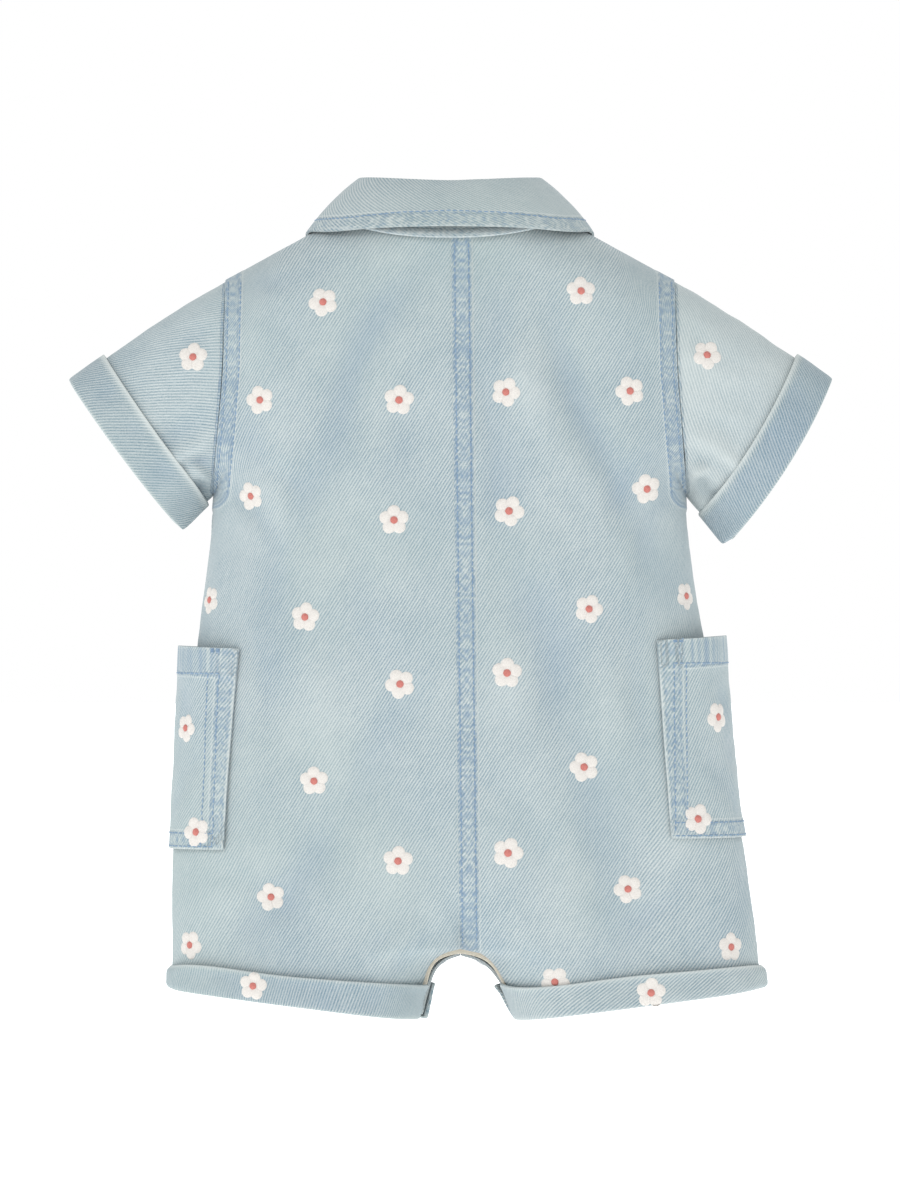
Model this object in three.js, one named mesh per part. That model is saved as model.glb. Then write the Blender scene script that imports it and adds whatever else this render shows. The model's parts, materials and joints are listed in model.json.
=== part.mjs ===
// A baby's short romper in washed denim, filled out as if it were worn, with nobody in it.
// Millimetres, +Z up. The back of the garment faces -Y and the front faces +Y. The wearer's left is -X.
// The origin is the middle of the neck, level with the back neck seam, where the shoulders carry it.
import * as THREE from 'three';

const { clamp, degToRad, lerp, smoothstep } = THREE.MathUtils;

// Cloth
const CLOTH = 1.6; // one layer of denim, with its seam allowances pressed in
const SEAM_GAP = 0.3; // between two pieces that are sewn together
const BACK = -1;
const FRONT = 1;
const LEFT = -1;
const RIGHT = 1;

// Shoulder and neck
const NECK_HALF = 56; // half the width of the neck, at the shoulder seam
const NECK_POINT_Z = 10.5; // height of the shoulder seam at the neck
const SHOULDER_SLOPE = 0.545; // fall of the shoulder seam for each millimetre outwards
const SHOULDER_ROUND = 34; // height over which the cloth turns over the shoulder
const NECK_BACK = { low: 0.5, power: 2.4 };
const NECK_FRONT = { low: -30, power: 2 };
const TOP_FADE = 100; // depth below the top edge at which the rows of cloth lie level

// Armhole: the seam where the sleeve is set in
const ARMPIT_Z = -128.5;
const ARMHOLE_REACH = 26; // half its depth, front to back
const ARMHOLE_MIDDLE_Z = -82;
const ARMHOLE_POWER = 2.2;
const ARMHOLE = [
  { z: 0, x: 112 },
  { z: -21, x: 112 },
  { z: -66, x: 113 },
  { z: -92, x: 115 },
  { z: -117, x: 117.3 },
  { z: -128.5, x: 118 },
  { z: -140, x: 118.5 },
];

// Body below the armpit: half width, middle, half depth and squareness of each level section
const SIDE = [
  { z: -128.5, half: 118, mid: 0 },
  { z: -147.5, half: 119, mid: 0 },
  { z: -177.5, half: 123, mid: -0.2 },
  { z: -200, half: 126.5, mid: 0.5 },
  { z: -252.5, half: 135, mid: 2 },
  { z: -305, half: 143, mid: 4.2 },
  { z: -350, half: 146, mid: 7.2 },
  { z: -392, half: 147.5, mid: 8.4 },
];
const GIRTH = [
  { z: 45, depth: 33, round: 3 },
  { z: 0, depth: 35, round: 3 },
  { z: -50, depth: 40, round: 2.9 },
  { z: -128.5, depth: 42.5, round: 2.5 },
  { z: -180, depth: 43.5, round: 2.35 },
  { z: -270, depth: 43.5, round: 2.3 },
  { z: -350, depth: 41, round: 2.3 },
  { z: -392, depth: 39, round: 2.3 },
];

// Crotch and legs. The front's edge reaches further in than the back's, and a snap band lies between
const CENTRE_TOP_X = 1; // the centre seams lean a little to the right on their way down
const CROTCH_X = 5.3;
const CROTCH_RISE = 42; // height over which the seat turns under
const LEG_ROUND = 35; // width over which a leg turns in to its inseam
const ARCH = {
  [BACK]: { z: -354.5, gap: 14.5, spread: { [LEFT]: 0.25, [RIGHT]: 0.45 } },
  [FRONT]: { z: -358, gap: 11.5, spread: { [LEFT]: 0.25, [RIGHT]: 0.6 } },
};
const BAND_ARCH = { z: -356.6, gap: 13, spread: { [LEFT]: 0.25, [RIGHT]: 0.52 } };
const ARCH_CURVE = 2.2;
const INSEAM_TRIM = 1.2; // half the space that the snap band takes between front and back
const HEM_INNER_Z = -387.5;
const HEM_OUTER_Z = -374;
const HEM_BLEND = 110;

// Rows and columns of cloth in one panel
const COLUMNS_IN = 5;
const COLUMNS_OUT = 7;
const COLUMNS = COLUMNS_IN + COLUMNS_OUT;
const ROWS_SHOULDER = 4;
const ROWS_ARMHOLE = 7;
const ROWS_WAIST = 12;
const ROWS_SEAT = 4;
const ROWS_LEG = 5;
const ARMPIT_ROW = ROWS_SHOULDER + ROWS_ARMHOLE;
const SEAT_ROW = ARMPIT_ROW + ROWS_WAIST;
const CROTCH_ROW = SEAT_ROW + ROWS_SEAT;
const HEM_ROW = CROTCH_ROW + ROWS_LEG;
const FINE_STEPS = 240; // points of the fine line that each row is measured on
const EDGE_TRIES = 12; // steps that find where a slanting row meets its side seam
const LEG_COLUMN_SHIFT = 12; // how far the middle column moves out on its way down to the legs
const NORMAL_STEP = 0.06; // share of a row or column over which a face's direction is measured
const CROTCH_MARGIN = 0.07; // rows above the crotch that a direction isn't measured across

// The largest folds, each a trough from start by bend to end. A negative depth is a ridge
const FOLDS = {
  [BACK]: [
    { start: [-36, -15], bend: [-58, -95], end: [-92, -208], depth: 2.8, width: 11 },
    { start: [56, -35], bend: [78, -95], end: [93, -162], depth: 2.8, width: 8 },
    { start: [25, -160], bend: [60, -235], end: [101, -350], depth: 2.6, width: 12 },
    { start: [-20, -235], bend: [-62, -285], end: [-108, -350], depth: 2.8, width: 12 },
    { start: [-4, -318], bend: [-36, -332], end: [-62, -352], depth: 2.2, width: 7 },
    { start: [14, -330], bend: [24, -345], end: [44, -358], depth: 1.8, width: 6 },
    { start: [38, -50], bend: [44, -90], end: [48, -132], depth: -1.4, width: 9 },
  ],
  [FRONT]: [
    { start: [40, -35], bend: [62, -100], end: [88, -190], depth: 2.6, width: 11 },
    { start: [-54, -40], bend: [-76, -98], end: [-92, -170], depth: 2.8, width: 9 },
    { start: [-26, -190], bend: [-58, -250], end: [-100, -345], depth: 2.4, width: 12 },
    { start: [24, -245], bend: [60, -290], end: [106, -348], depth: 2.6, width: 12 },
    { start: [14, -322], bend: [42, -335], end: [70, -354], depth: 2.2, width: 7 },
    { start: [-6, -325], bend: [-26, -342], end: [-48, -358], depth: 2, width: 7 },
  ],
};
const FOLD_STEPS = 14;
const FOLD_FADE = 18; // a fold dies out where the cloth turns this near to its edge seam

// Sleeves: the opening's top and bottom, seen from behind, and how far its middle bows out
const SLEEVES = {
  [LEFT]: { top: [-188.2, -70.9], bottom: [-134.2, -142.8], bow: 1.2 },
  [RIGHT]: { top: [188.8, -70.3], bottom: [137.9, -150.7], bow: 3.8 },
};
const SLEEVE_ROWS = 6;
const SLEEVE_CROWN = 2.4; // how far the sleeve's top line stands above a straight one
const SLEEVE_REACH = 20.5; // half the opening's depth, front to back
const OPENING_STEPS = 720;

// Turned-up cuffs
const CUFF_GAP = 0.6; // from the cloth to the cuff that is turned up over it
const CUFF_FOLD = 2; // thickness of the turned-up cloth at its free edge
const CUFF_FLARE = 0.9; // how much further out it stands at the fold
const CUFF_LIP = 1.9; // how far the fold reaches past the end of the cloth inside
const SLEEVE_CUFF = 19.5;
const ARMPIT_CLEAR = 4.4; // from the armpit to the sleeve cuff's free edge
const LEG_CUFF = { inner: 16.2, outer: 12.4 }; // height of a leg's cuff at the inseam and at the side seam
const LEG_SEARCH_STEPS = 20; // rows tried when a height above the hem is looked up
const LEG_CUFF_SPREAD = 1.9; // how much further it stands off the leg at the side seam
const CUFF_PROFILE = [0, 0.36, 0.7, 0.95]; // shares of its height at which a cuff is measured
const CUFF_LIP_LINES = [
  { reach: 0.55, rise: CUFF_GAP + CUFF_FOLD + CUFF_FLARE - 0.4, spreads: 1 },
  { reach: 1, rise: 1.1, spreads: 1 },
  { reach: 0.92, rise: -CLOTH, spreads: 0 },
]; // the fold's outer lines: share of the lip beyond the cloth's end, height off the cloth, share of any spread
const CUFF_INNER_LINES = [
  { reach: 0.18, rise: CUFF_GAP, spreads: 1 },
  { reach: 0.36, rise: -0.3, spreads: 0 },
  { reach: 0.36, rise: 0.05 - CLOTH, spreads: 0 },
]; // its inner lines: distance beyond the cloth's end, height off the cloth, share of any spread

// Side pockets, sewn over the side seams
const POCKETS = {
  [LEFT]: { top: -204, bottom: -304, back: [38.2, 41.6], front: [36.5, 34], gape: 7.3 },
  [RIGHT]: { top: -199.8, bottom: -298.4, back: [41.1, 52.2], front: [35, 25.5], gape: 9.3 },
}; // back and front: distance round from the side seam to each upright edge, at the mouth and at the bottom
const POCKET_GAPE_FALL = 1.4; // how fast the gape closes on the way down
const POCKET_GAPE_ROUND = 0.9; // how evenly it spreads across
const POCKET_HEM = 14.5;
const POCKET_HEM_RAISE = 0.7;
const POCKET_COLUMNS = 14;
const POCKET_STEP = { around: 1.5, row: 0.1 }; // over which the body's direction is measured
const POCKET_LEVELS = [0, 0.072, 0.143, 0.153, 0.3, 0.45, 0.6, 0.75, 0.9, 1];

// Collar: from the centre back round to the front, the roll line and the leaf's free edge
const COLLAR = [
  { turn: 0, rollX: 0, rollY: -27, rollZ: 28.6, edgeX: 0, edgeY: -43, edgeZ: 5.6 },
  { turn: 30, rollX: 25, rollY: -24.6, rollZ: 29.6, edgeX: 35, edgeY: -39.6, edgeZ: 5 },
  { turn: 60, rollX: 40.5, rollY: -14, rollZ: 30.6, edgeX: 61, edgeY: -24.4, edgeZ: 3.4 },
  { turn: 90, rollX: 46.5, rollY: 2, rollZ: 30.2, edgeX: 72, edgeY: -1, edgeZ: 4.2 },
  { turn: 120, rollX: 42, rollY: 20, rollZ: 20, edgeX: 69, edgeY: 28.5, edgeZ: -5 },
  { turn: 150, rollX: 26.5, rollY: 32.6, rollZ: 4.5, edgeX: 52, edgeY: 45, edgeZ: -27 },
  { turn: 172, rollX: 7.5, rollY: 37.4, rollZ: -9.5, edgeX: 33, edgeY: 46, edgeZ: -51 },
];
const COLLAR_END = 172;
const COLLAR_COLUMNS = 30;
const COLLAR_BOW = 3.2; // how far the leaf bows out between its roll and its edge
const LEAF_FALL = [0.14, 0.34, 0.56, 0.78, 1];
const LEAF_HOOK = [
  { out: -4.4, up: -2.8 },
  { out: -2.3, up: -0.6 },
  { out: 0.2, up: 0 },
];
const LEAF_LEAN = 0.6; // upward part of the direction that the collar's outside faces
const STAND_TOP = { out: -2.3, up: -5 };
const STAND_FOOT = { back: 0.9, front: 2.4 }; // from the neck seam up to the stand

// Front placket and press studs
const PLACKET = { half: 12, top: -31.2, bottom: -268, thick: 1.6 };
const PLACKET_COLUMNS = 4;
const PLACKET_ROWS = 18;
const STUD = { radius: 4.6, height: 1.7, sides: 14 };
const PLACKET_STUD_ZS = [-44, -96, -148, -200, -252];
const INSEAM_STUDS = [
  { row: 1, onCuff: false },
  { row: 3.8, onCuff: true },
]; // rows below the crotch at which each leg has a stud
const INSEAM_STUD_IN = 20; // from the front's inseam edge to a stud's middle
const STUD_LIFT = 0.8; // that a flat stud needs where the cloth under it is rounded
const PLACKET_STUD_LIFT = 0.35; // the same on the placket
const STUD_STEP = { length: 2, row: 0.2 }; // over which the cloth's direction under a stud is measured

// Snap band inside the inseam
const SNAP_BAND = { width: 10.5, half: 0.75, share: 0.97, steps: 26 }; // share: how much of the inseam it runs down

const DENIM = { color: 0xb9cad1, roughness: 0.92, metalness: 0 };
const DENIM_DEEP = { color: 0xadc0ca, roughness: 0.92, metalness: 0 };
const TAPE = { color: 0xe9e2d3, roughness: 0.9, metalness: 0 };
const METAL = { color: 0xc9cbcc, roughness: 0.35, metalness: 0.9 };

/** The value of one column at a place, on a smooth curve through a table sorted by its first column. */
function alongTable(table, key, column, at) {
  const sign = Math.sign(table[table.length - 1][key] - table[0][key]);
  let i = 0;
  while (i < table.length - 2 && (table[i + 1][key] - at) * sign < 0) i += 1;
  const row = (k) => table[clamp(k, 0, table.length - 1)];
  const slope = (k) => {
    const [before, after] = [row(k - 1), row(k + 1)];
    return (after[column] - before[column]) / (after[key] - before[key]);
  };
  const [a, b] = [row(i), row(i + 1)];
  const span = b[key] - a[key];
  const t = clamp((at - a[key]) / span, 0, 1);
  const [t2, t3] = [t * t, t * t * t];
  return (
    (2 * t3 - 3 * t2 + 1) * a[column] +
    (t3 - 2 * t2 + t) * span * slope(i) +
    (3 * t2 - 2 * t3) * b[column] +
    (t3 - t2) * span * slope(i + 1)
  );
}

const armholeX = (z) => alongTable(ARMHOLE, 'z', 'x', clamp(z, -140, 0));
const girthAt = (column, z) => alongTable(GIRTH, 'z', column, z);
const middleAt = (z) => (z > ARMPIT_Z ? 0 : alongTable(SIDE, 'z', 'mid', z));
const centreX = (z) => lerp(CENTRE_TOP_X, CROTCH_X, clamp(z / ARCH[BACK].z, 0, 1));

/** Height of the shoulder seam's line at x, carried on across the neck. */
function shoulderZ(x) {
  return NECK_POINT_Z - SHOULDER_SLOPE * (Math.abs(x) - NECK_HALF);
}

/** Height of a panel's top edge: the neck seam, then the shoulder seam. */
function topZ(face, x) {
  if (Math.abs(x) >= NECK_HALF) return shoulderZ(x);
  const neck = face === BACK ? NECK_BACK : NECK_FRONT;
  return lerp(neck.low, NECK_POINT_Z, (Math.abs(x) / NECK_HALF) ** neck.power);
}

/** Half width of the body's section at a height. Above the armpit it passes through the armhole seam. */
function halfWidth(z) {
  if (z <= ARMPIT_Z) return alongTable(SIDE, 'z', 'half', z);
  const down = clamp((ARMHOLE_MIDDLE_Z - z) / (ARMHOLE_MIDDLE_Z - ARMPIT_Z), 0, 1);
  const reach = ARMHOLE_REACH * (1 - down ** ARMHOLE_POWER) ** (1 / ARMHOLE_POWER);
  const round = girthAt('round', z);
  return armholeX(z) / (1 - (reach / girthAt('depth', z)) ** round) ** (1 / round);
}

/** How far the panel reaches from the middle at a height: the armhole seam, or else the side seam. */
const seamReach = (z) => (z > ARMPIT_Z ? armholeX(z) : halfWidth(z));

/** Distance from the crotch's middle out to a leg's inner edge, at a height below the crotch. */
function archHalf(arch, side, z) {
  const down = Math.max(0, arch.z - z);
  return arch.gap * (1 - Math.exp(-down / ARCH_CURVE)) + arch.spread[side] * down;
}

/** Share of the full depth left where the cloth turns over the shoulder. */
function shoulderTurn(x, z) {
  const down = clamp((shoulderZ(x) - z) / SHOULDER_ROUND, 0, 1);
  return Math.sqrt(1 - (1 - down) ** 2);
}

/** Share of the full depth left where the cloth turns under the seat and in to the inseams. */
function crotchTurn(face, x, z) {
  const arch = ARCH[face];
  const rise = (z - arch.z) / CROTCH_RISE;
  if (rise >= 1) return 1;
  const side = x < CROTCH_X ? LEFT : RIGHT;
  const out = Math.abs(x - CROTCH_X) - (rise < 0 ? archHalf(arch, side, z) : 0);
  const near = clamp(1 - out / LEG_ROUND, 0, 1);
  return Math.sqrt(1 - near ** 2 * (rise < 0 ? 1 : (1 - rise) ** 2));
}

/** Depth of the folds at a point of a face. */
function foldDepth(face, x, z) {
  let total = 0;
  for (const { start, bend, end, depth, width } of FOLDS[face]) {
    let [best, where] = [Infinity, 0];
    for (let k = 0; k <= FOLD_STEPS; k += 1) {
      const t = k / FOLD_STEPS;
      const along = (axis) => (1 - t) ** 2 * start[axis] + 2 * t * (1 - t) * bend[axis] + t ** 2 * end[axis];
      const distance = Math.hypot(x - along(0), z - along(1));
      if (distance < best) [best, where] = [distance, t];
    }
    total += depth * Math.exp(-((best / width) ** 2)) * Math.sin(Math.PI * where) ** 0.5;
  }
  return total;
}

/** Distance of a face from the plane between front and back. */
function depthAt(face, x, z) {
  const round = girthAt('round', z);
  const across = clamp(Math.abs(x - middleAt(z)) / halfWidth(z), 0, 1);
  const full = girthAt('depth', z) * (1 - across ** round) ** (1 / round);
  const plain = full * shoulderTurn(x, z) * crotchTurn(face, x, z);
  return Math.max(plain - foldDepth(face, x, z) * Math.min(1, plain / FOLD_FADE) ** 2, SEAM_GAP / 2);
}

/** Steps along an arch from the crotch down to the hem, by the distance travelled. */
function archSteps(arch, side) {
  const steps = [{ length: 0, z: arch.z }];
  for (let k = 1; k <= FINE_STEPS; k += 1) {
    const z = lerp(arch.z, HEM_INNER_Z, (k / FINE_STEPS) ** 2);
    const before = steps[k - 1];
    const across = archHalf(arch, side, z) - archHalf(arch, side, before.z);
    steps.push({ length: before.length + Math.hypot(across, z - before.z), z });
  }
  return steps;
}

/** Height on an arch at a share of its length. */
function archZ(steps, share) {
  const length = clamp(share, 0, 1) * steps[steps.length - 1].length;
  const k = Math.max(1, steps.findIndex((step) => step.length >= length));
  const [a, b] = [steps[k - 1], steps[k]];
  return lerp(a.z, b.z, (length - a.length) / (b.length - a.length));
}

const ARCH_STEPS = Object.fromEntries(
  [BACK, FRONT].map((face) => [
    face,
    { [LEFT]: archSteps(ARCH[face], LEFT), [RIGHT]: archSteps(ARCH[face], RIGHT) },
  ]),
);

/** Level of a row of cloth at the side seam, before the top edge's shape is added. */
function rowLevel(row) {
  const quarter = (part) => 1 - Math.cos((part * Math.PI) / 2);
  if (row <= ROWS_SHOULDER) return -SHOULDER_ROUND * 0.9 * quarter(row / (ROWS_SHOULDER + 0.4));
  const shoulderEnd = rowLevel(ROWS_SHOULDER);
  if (row <= ARMPIT_ROW) return lerp(shoulderEnd, ARMPIT_Z, (row - ROWS_SHOULDER) / ROWS_ARMHOLE);
  const seatTop = ARCH[BACK].z + CROTCH_RISE * quarter(ROWS_SEAT / (ROWS_SEAT + 0.4));
  if (row <= SEAT_ROW) return lerp(ARMPIT_Z, seatTop, (row - ARMPIT_ROW) / ROWS_WAIST);
  if (row <= CROTCH_ROW) return ARCH[BACK].z + CROTCH_RISE * quarter((CROTCH_ROW - row) / (ROWS_SEAT + 0.4));
  return lerp(ARCH[BACK].z, HEM_OUTER_Z, (row - CROTCH_ROW) / ROWS_LEG);
}

/** One row of cloth from the centre seam or inseam to the armhole or side seam, as a fine line with its lengths. */
function rowLine(side, face, row) {
  const level = rowLevel(row);
  const arch = ARCH[face];
  const fade = 1 - smoothstep(-level, 0, TOP_FADE);
  const legShare = (row - CROTCH_ROW) / ROWS_LEG;
  const nearCrotch = smoothstep(level, ARCH[BACK].z + CROTCH_RISE, ARCH[BACK].z - 0.01);
  const innerZ =
    legShare > 0
      ? archZ(ARCH_STEPS[face][side], legShare)
      : level + (arch.z - ARCH[BACK].z) * (1 - smoothstep(level, ARCH[BACK].z, ARCH[BACK].z + CROTCH_RISE));
  const innerX = legShare > 0 ? CROTCH_X + side * archHalf(arch, side, innerZ) : centreX(level);
  const heightAt = (x) => {
    const out = Math.abs(x - innerX) / HEM_BLEND;
    return level + topZ(face, x) * fade + (innerZ - level) * (1 - clamp(out, 0, 1));
  };
  let outerX = side * seamReach(level);
  for (let k = 0; k < EDGE_TRIES; k += 1) outerX = middleAt(heightAt(outerX)) + side * seamReach(heightAt(outerX));
  const columnX = side * lerp(NECK_HALF, NECK_HALF + LEG_COLUMN_SHIFT, nearCrotch);
  const points = [];
  const lengths = [0];
  let columnLength = 0;
  for (let k = 0; k <= FINE_STEPS; k += 1) {
    const x = lerp(innerX, outerX, (1 - Math.cos((Math.PI * k) / FINE_STEPS)) / 2);
    const z = heightAt(x);
    points.push(new THREE.Vector3(x, face * depthAt(face, x, z), z));
    if (k > 0) lengths.push(lengths[k - 1] + points[k].distanceTo(points[k - 1]));
    if (side * x <= side * columnX) columnLength = lengths[k];
  }
  return { points, lengths, columnLength, total: lengths[FINE_STEPS], open: row >= CROTCH_ROW - 1e-9 };
}

/** The point of a fine line at a length along it. */
function pointAtLength(line, length) {
  const at = clamp(length, 0, line.total);
  let k = 1;
  while (k < line.lengths.length - 1 && line.lengths[k] < at) k += 1;
  const span = line.lengths[k] - line.lengths[k - 1];
  return line.points[k - 1].clone().lerp(line.points[k], span > 0 ? (at - line.lengths[k - 1]) / span : 0);
}

const lineStore = new Map();
/** A row's fine line, worked out once. */
function storedLine(side, face, row) {
  const key = `${side} ${face} ${row.toFixed(4)}`;
  if (!lineStore.has(key)) lineStore.set(key, rowLine(side, face, row));
  return lineStore.get(key);
}

/** A point of a body panel's outer face, by its column and row. */
function panelPoint(side, face, column, row) {
  const line = storedLine(side, face, row);
  const start = line.open ? INSEAM_TRIM : SEAM_GAP / 2;
  const end = line.total - SEAM_GAP / 2;
  const middle = line.columnLength;
  const length =
    column <= COLUMNS_IN
      ? lerp(start, middle, column / COLUMNS_IN)
      : lerp(middle, end, (column - COLUMNS_IN) / COLUMNS_OUT);
  return pointAtLength(line, length);
}

/** A point of the body near a side seam, by the distance round from the seam. */
function sidePoint(side, around, row) {
  const line = storedLine(side, around < 0 ? BACK : FRONT, row);
  return pointAtLength(line, line.total - Math.abs(around));
}

/** Outward direction of a face given by a function of two numbers, from two small steps. */
function faceNormal(pointAt, u, v, range, flip) {
  const [u0, u1] = [Math.max(range.u0, u - NORMAL_STEP), Math.min(range.u1, u + NORMAL_STEP)];
  const [v0, v1] = [Math.max(range.v0, v - NORMAL_STEP), Math.min(range.v1, v + NORMAL_STEP)];
  const du = pointAt(u1, v).sub(pointAt(u0, v));
  const dv = pointAt(u, v1).sub(pointAt(u, v0));
  return du.cross(dv).normalize().multiplyScalar(flip);
}

/** The row of a side seam at a height. */
function rowAtHeight(z) {
  let [low, high] = [0, HEM_ROW];
  for (let k = 0; k < 40; k += 1) {
    const middle = (low + high) / 2;
    if (sidePoint(RIGHT, -SEAM_GAP, middle).z > z) low = middle;
    else high = middle;
  }
  return low;
}

/**
 * A closed wall between two grids of points, an outer and an inner one.
 * Grids are lists of rows. wrapRows joins the last row to the first, wrapColumns the last column to the first.
 */
function wall(name, outer, inner, look, { wrapRows = false, wrapColumns = false, flip = false } = {}) {
  const rows = outer.length;
  const columns = outer[0].length;
  const layer = rows * columns;
  const positions = [...outer.flat(), ...inner.flat()].flatMap((p) => [p.x, p.y, p.z]);
  const index = [];
  const quad = (a, b, c, d) => {
    if (flip) index.push(a, c, b, a, d, c);
    else index.push(a, b, c, a, c, d);
  };
  const at = (r, c) => (r % rows) * columns + (c % columns);
  const rowSteps = wrapRows ? rows : rows - 1;
  const columnSteps = wrapColumns ? columns : columns - 1;
  for (let r = 0; r < rowSteps; r += 1) {
    for (let c = 0; c < columnSteps; c += 1) {
      quad(at(r, c), at(r + 1, c), at(r + 1, c + 1), at(r, c + 1));
      quad(layer + at(r, c), layer + at(r, c + 1), layer + at(r + 1, c + 1), layer + at(r + 1, c));
    }
  }
  if (!wrapColumns) {
    for (let r = 0; r < rowSteps; r += 1) {
      quad(at(r, 0), layer + at(r, 0), layer + at(r + 1, 0), at(r + 1, 0));
      const last = columns - 1;
      quad(at(r, last), at(r + 1, last), layer + at(r + 1, last), layer + at(r, last));
    }
  }
  if (!wrapRows) {
    for (let c = 0; c < columnSteps; c += 1) {
      quad(at(0, c), at(0, c + 1), layer + at(0, c + 1), layer + at(0, c));
      const last = rows - 1;
      quad(at(last, c), layer + at(last, c), layer + at(last, c + 1), at(last, c + 1));
    }
  }
  const geometry = new THREE.BufferGeometry();
  geometry.setAttribute('position', new THREE.Float32BufferAttribute(positions, 3));
  geometry.setIndex(signedVolume(positions, index) < 0 ? index.reverse() : index);
  geometry.computeVertexNormals();
  return named(new THREE.Mesh(geometry, new THREE.MeshStandardMaterial(look)), name);
}

/** Volume inside a list of triangles, below zero where they face inwards. */
function signedVolume(positions, index) {
  const corner = (k) => new THREE.Vector3().fromArray(positions, index[k] * 3);
  let total = 0;
  for (let k = 0; k < index.length; k += 3) total += corner(k).dot(corner(k + 1).cross(corner(k + 2))) / 6;
  return total;
}

/** A mesh with its name. */
function named(mesh, name) {
  mesh.name = name;
  return mesh;
}

/** A list of evenly counted numbers from 0 to count. */
const counts = (count) => Array.from({ length: count + 1 }, (_, k) => k);

/** A body panel: its outer face, and the same face moved in by the cloth's thickness. */
function panel(name, side, face) {
  const range = { u0: 0, u1: COLUMNS, v0: 0, v1: HEM_ROW };
  const pointAt = (column, row) => panelPoint(side, face, column, row);
  const outer = [];
  const inner = [];
  for (const row of counts(HEM_ROW)) {
    const points = counts(COLUMNS).map((column) => pointAt(column, row));
    outer.push(points);
    inner.push(
      points.map((point, column) => {
        const above = row < CROTCH_ROW ? Math.min(range.v1, CROTCH_ROW - CROTCH_MARGIN) : range.v1;
        const below = row < CROTCH_ROW ? 0 : CROTCH_ROW;
        const normal = faceNormal(pointAt, column, row, { ...range, v0: below, v1: above }, side * face);
        return point.clone().addScaledVector(normal, -CLOTH);
      }),
    );
  }
  return wall(name, outer, inner, DENIM);
}

/** The armhole seam as a loop from the shoulder down the back to the armpit and up the front. */
function armholeLoop(side) {
  const down = counts(ARMPIT_ROW).map((row) => sideEdge(side, BACK, row));
  const up = counts(ARMPIT_ROW - 2).map((k) => sideEdge(side, FRONT, ARMPIT_ROW - 1 - k));
  return [...down, ...up];
}

/** The outer end of a row, on the seam itself. */
function sideEdge(side, face, row) {
  const line = storedLine(side, face, row);
  return line.points[line.points.length - 1].clone();
}

/** Share of a closed loop's length at each of its points. */
function loopShares(loop) {
  const lengths = loop.map((point, k) => point.distanceTo(loop[(k + 1) % loop.length]));
  const total = lengths.reduce((sum, length) => sum + length, 0);
  let run = 0;
  return lengths.map((length) => {
    const share = run / total;
    run += length;
    return share;
  });
}

/** The sleeve's opening, as points at the given shares of its length, and the direction it faces. */
function sleeveOpening(side, shares) {
  const { top, bottom, bow } = SLEEVES[side];
  const middle = new THREE.Vector3((top[0] + bottom[0]) / 2, 0, (top[1] + bottom[1]) / 2);
  const up = new THREE.Vector3(top[0] - bottom[0], 0, top[1] - bottom[1]).multiplyScalar(0.5);
  const outward = new THREE.Vector3(up.z, 0, -up.x).normalize();
  if (outward.x * side < 0) outward.negate();
  const at = (angle) =>
    middle
      .clone()
      .addScaledVector(up, Math.cos(angle))
      .addScaledVector(outward, bow * Math.sin(angle) ** 2)
      .add(new THREE.Vector3(0, -SLEEVE_REACH * Math.sin(angle), 0));
  const fine = Array.from({ length: OPENING_STEPS }, (_, k) => at((2 * Math.PI * k) / OPENING_STEPS));
  const fineShares = loopShares(fine);
  const points = shares.map((share) => {
    const k = fineShares.findIndex((value) => value >= share - 1e-9);
    return fine[Math.max(0, k)].clone();
  });
  return { points, outward };
}

/** A sleeve's outer face as a function of its place round the armhole and along the sleeve. */
function sleeveFace(side) {
  const loop = armholeLoop(side);
  const shares = loopShares(loop);
  const { points, outward } = sleeveOpening(side, shares);
  const lengths = loop.map((point, k) => point.distanceTo(points[k]));
  const wrap = (k) => ((k % loop.length) + loop.length) % loop.length;
  const ring = (list, around) => {
    const k = Math.floor(around);
    return list[wrap(k)].clone().lerp(list[wrap(k + 1)], around - k);
  };
  const at = (around, along) => {
    const start = ring(loop, around);
    const end = ring(points, around);
    const chord = end.clone().sub(start);
    const crown = Math.max(0, Math.cos(2 * Math.PI * ringShare(shares, around)));
    const point = start.addScaledVector(chord, along);
    point.z += SLEEVE_CROWN * crown * Math.sin(Math.PI * along);
    return point;
  };
  return { at, count: loop.length, lengths, outward, ends: points };
}

/** Share of a loop's length at a place between its points. */
function ringShare(shares, around) {
  const k = Math.floor(around);
  const from = shares[((k % shares.length) + shares.length) % shares.length];
  const to = k + 1 === shares.length ? 1 : shares[(k + 1 + shares.length) % shares.length];
  return lerp(from, to, around - k);
}

/** Outward direction of the sleeve at a place, away from the middle line of the sleeve. */
function sleeveNormal(face, around, along) {
  const [aroundStep, alongStep] = [0.5, 0.04];
  const du = face.at(around + aroundStep, along).sub(face.at(around - aroundStep, along));
  const low = Math.max(0, along - alongStep);
  const high = Math.min(1, along + alongStep);
  const dv = face.at(around, high).sub(face.at(around, low));
  const normal = du.cross(dv).normalize();
  const middle = new THREE.Vector3();
  for (let k = 0; k < face.count; k += 1) middle.addScaledVector(face.at(k, along), 1 / face.count);
  return normal.dot(face.at(around, along).sub(middle)) < 0 ? normal.negate() : normal;
}

/** A sleeve, set 0.3 mm off the armhole seam. */
function sleeve(name, side) {
  const face = sleeveFace(side);
  const outer = [];
  const inner = [];
  for (const row of counts(SLEEVE_ROWS)) {
    const points = [];
    const insides = [];
    for (let k = 0; k < face.count; k += 1) {
      const start = SEAM_GAP / face.lengths[k];
      const along = lerp(start, 1, row / SLEEVE_ROWS);
      const point = face.at(k, along);
      points.push(point);
      insides.push(point.clone().addScaledVector(sleeveNormal(face, k, along), -CLOTH));
    }
    outer.push(points);
    inner.push(insides);
  }
  return wall(name, outer, inner, DENIM, { wrapColumns: true });
}

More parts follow.
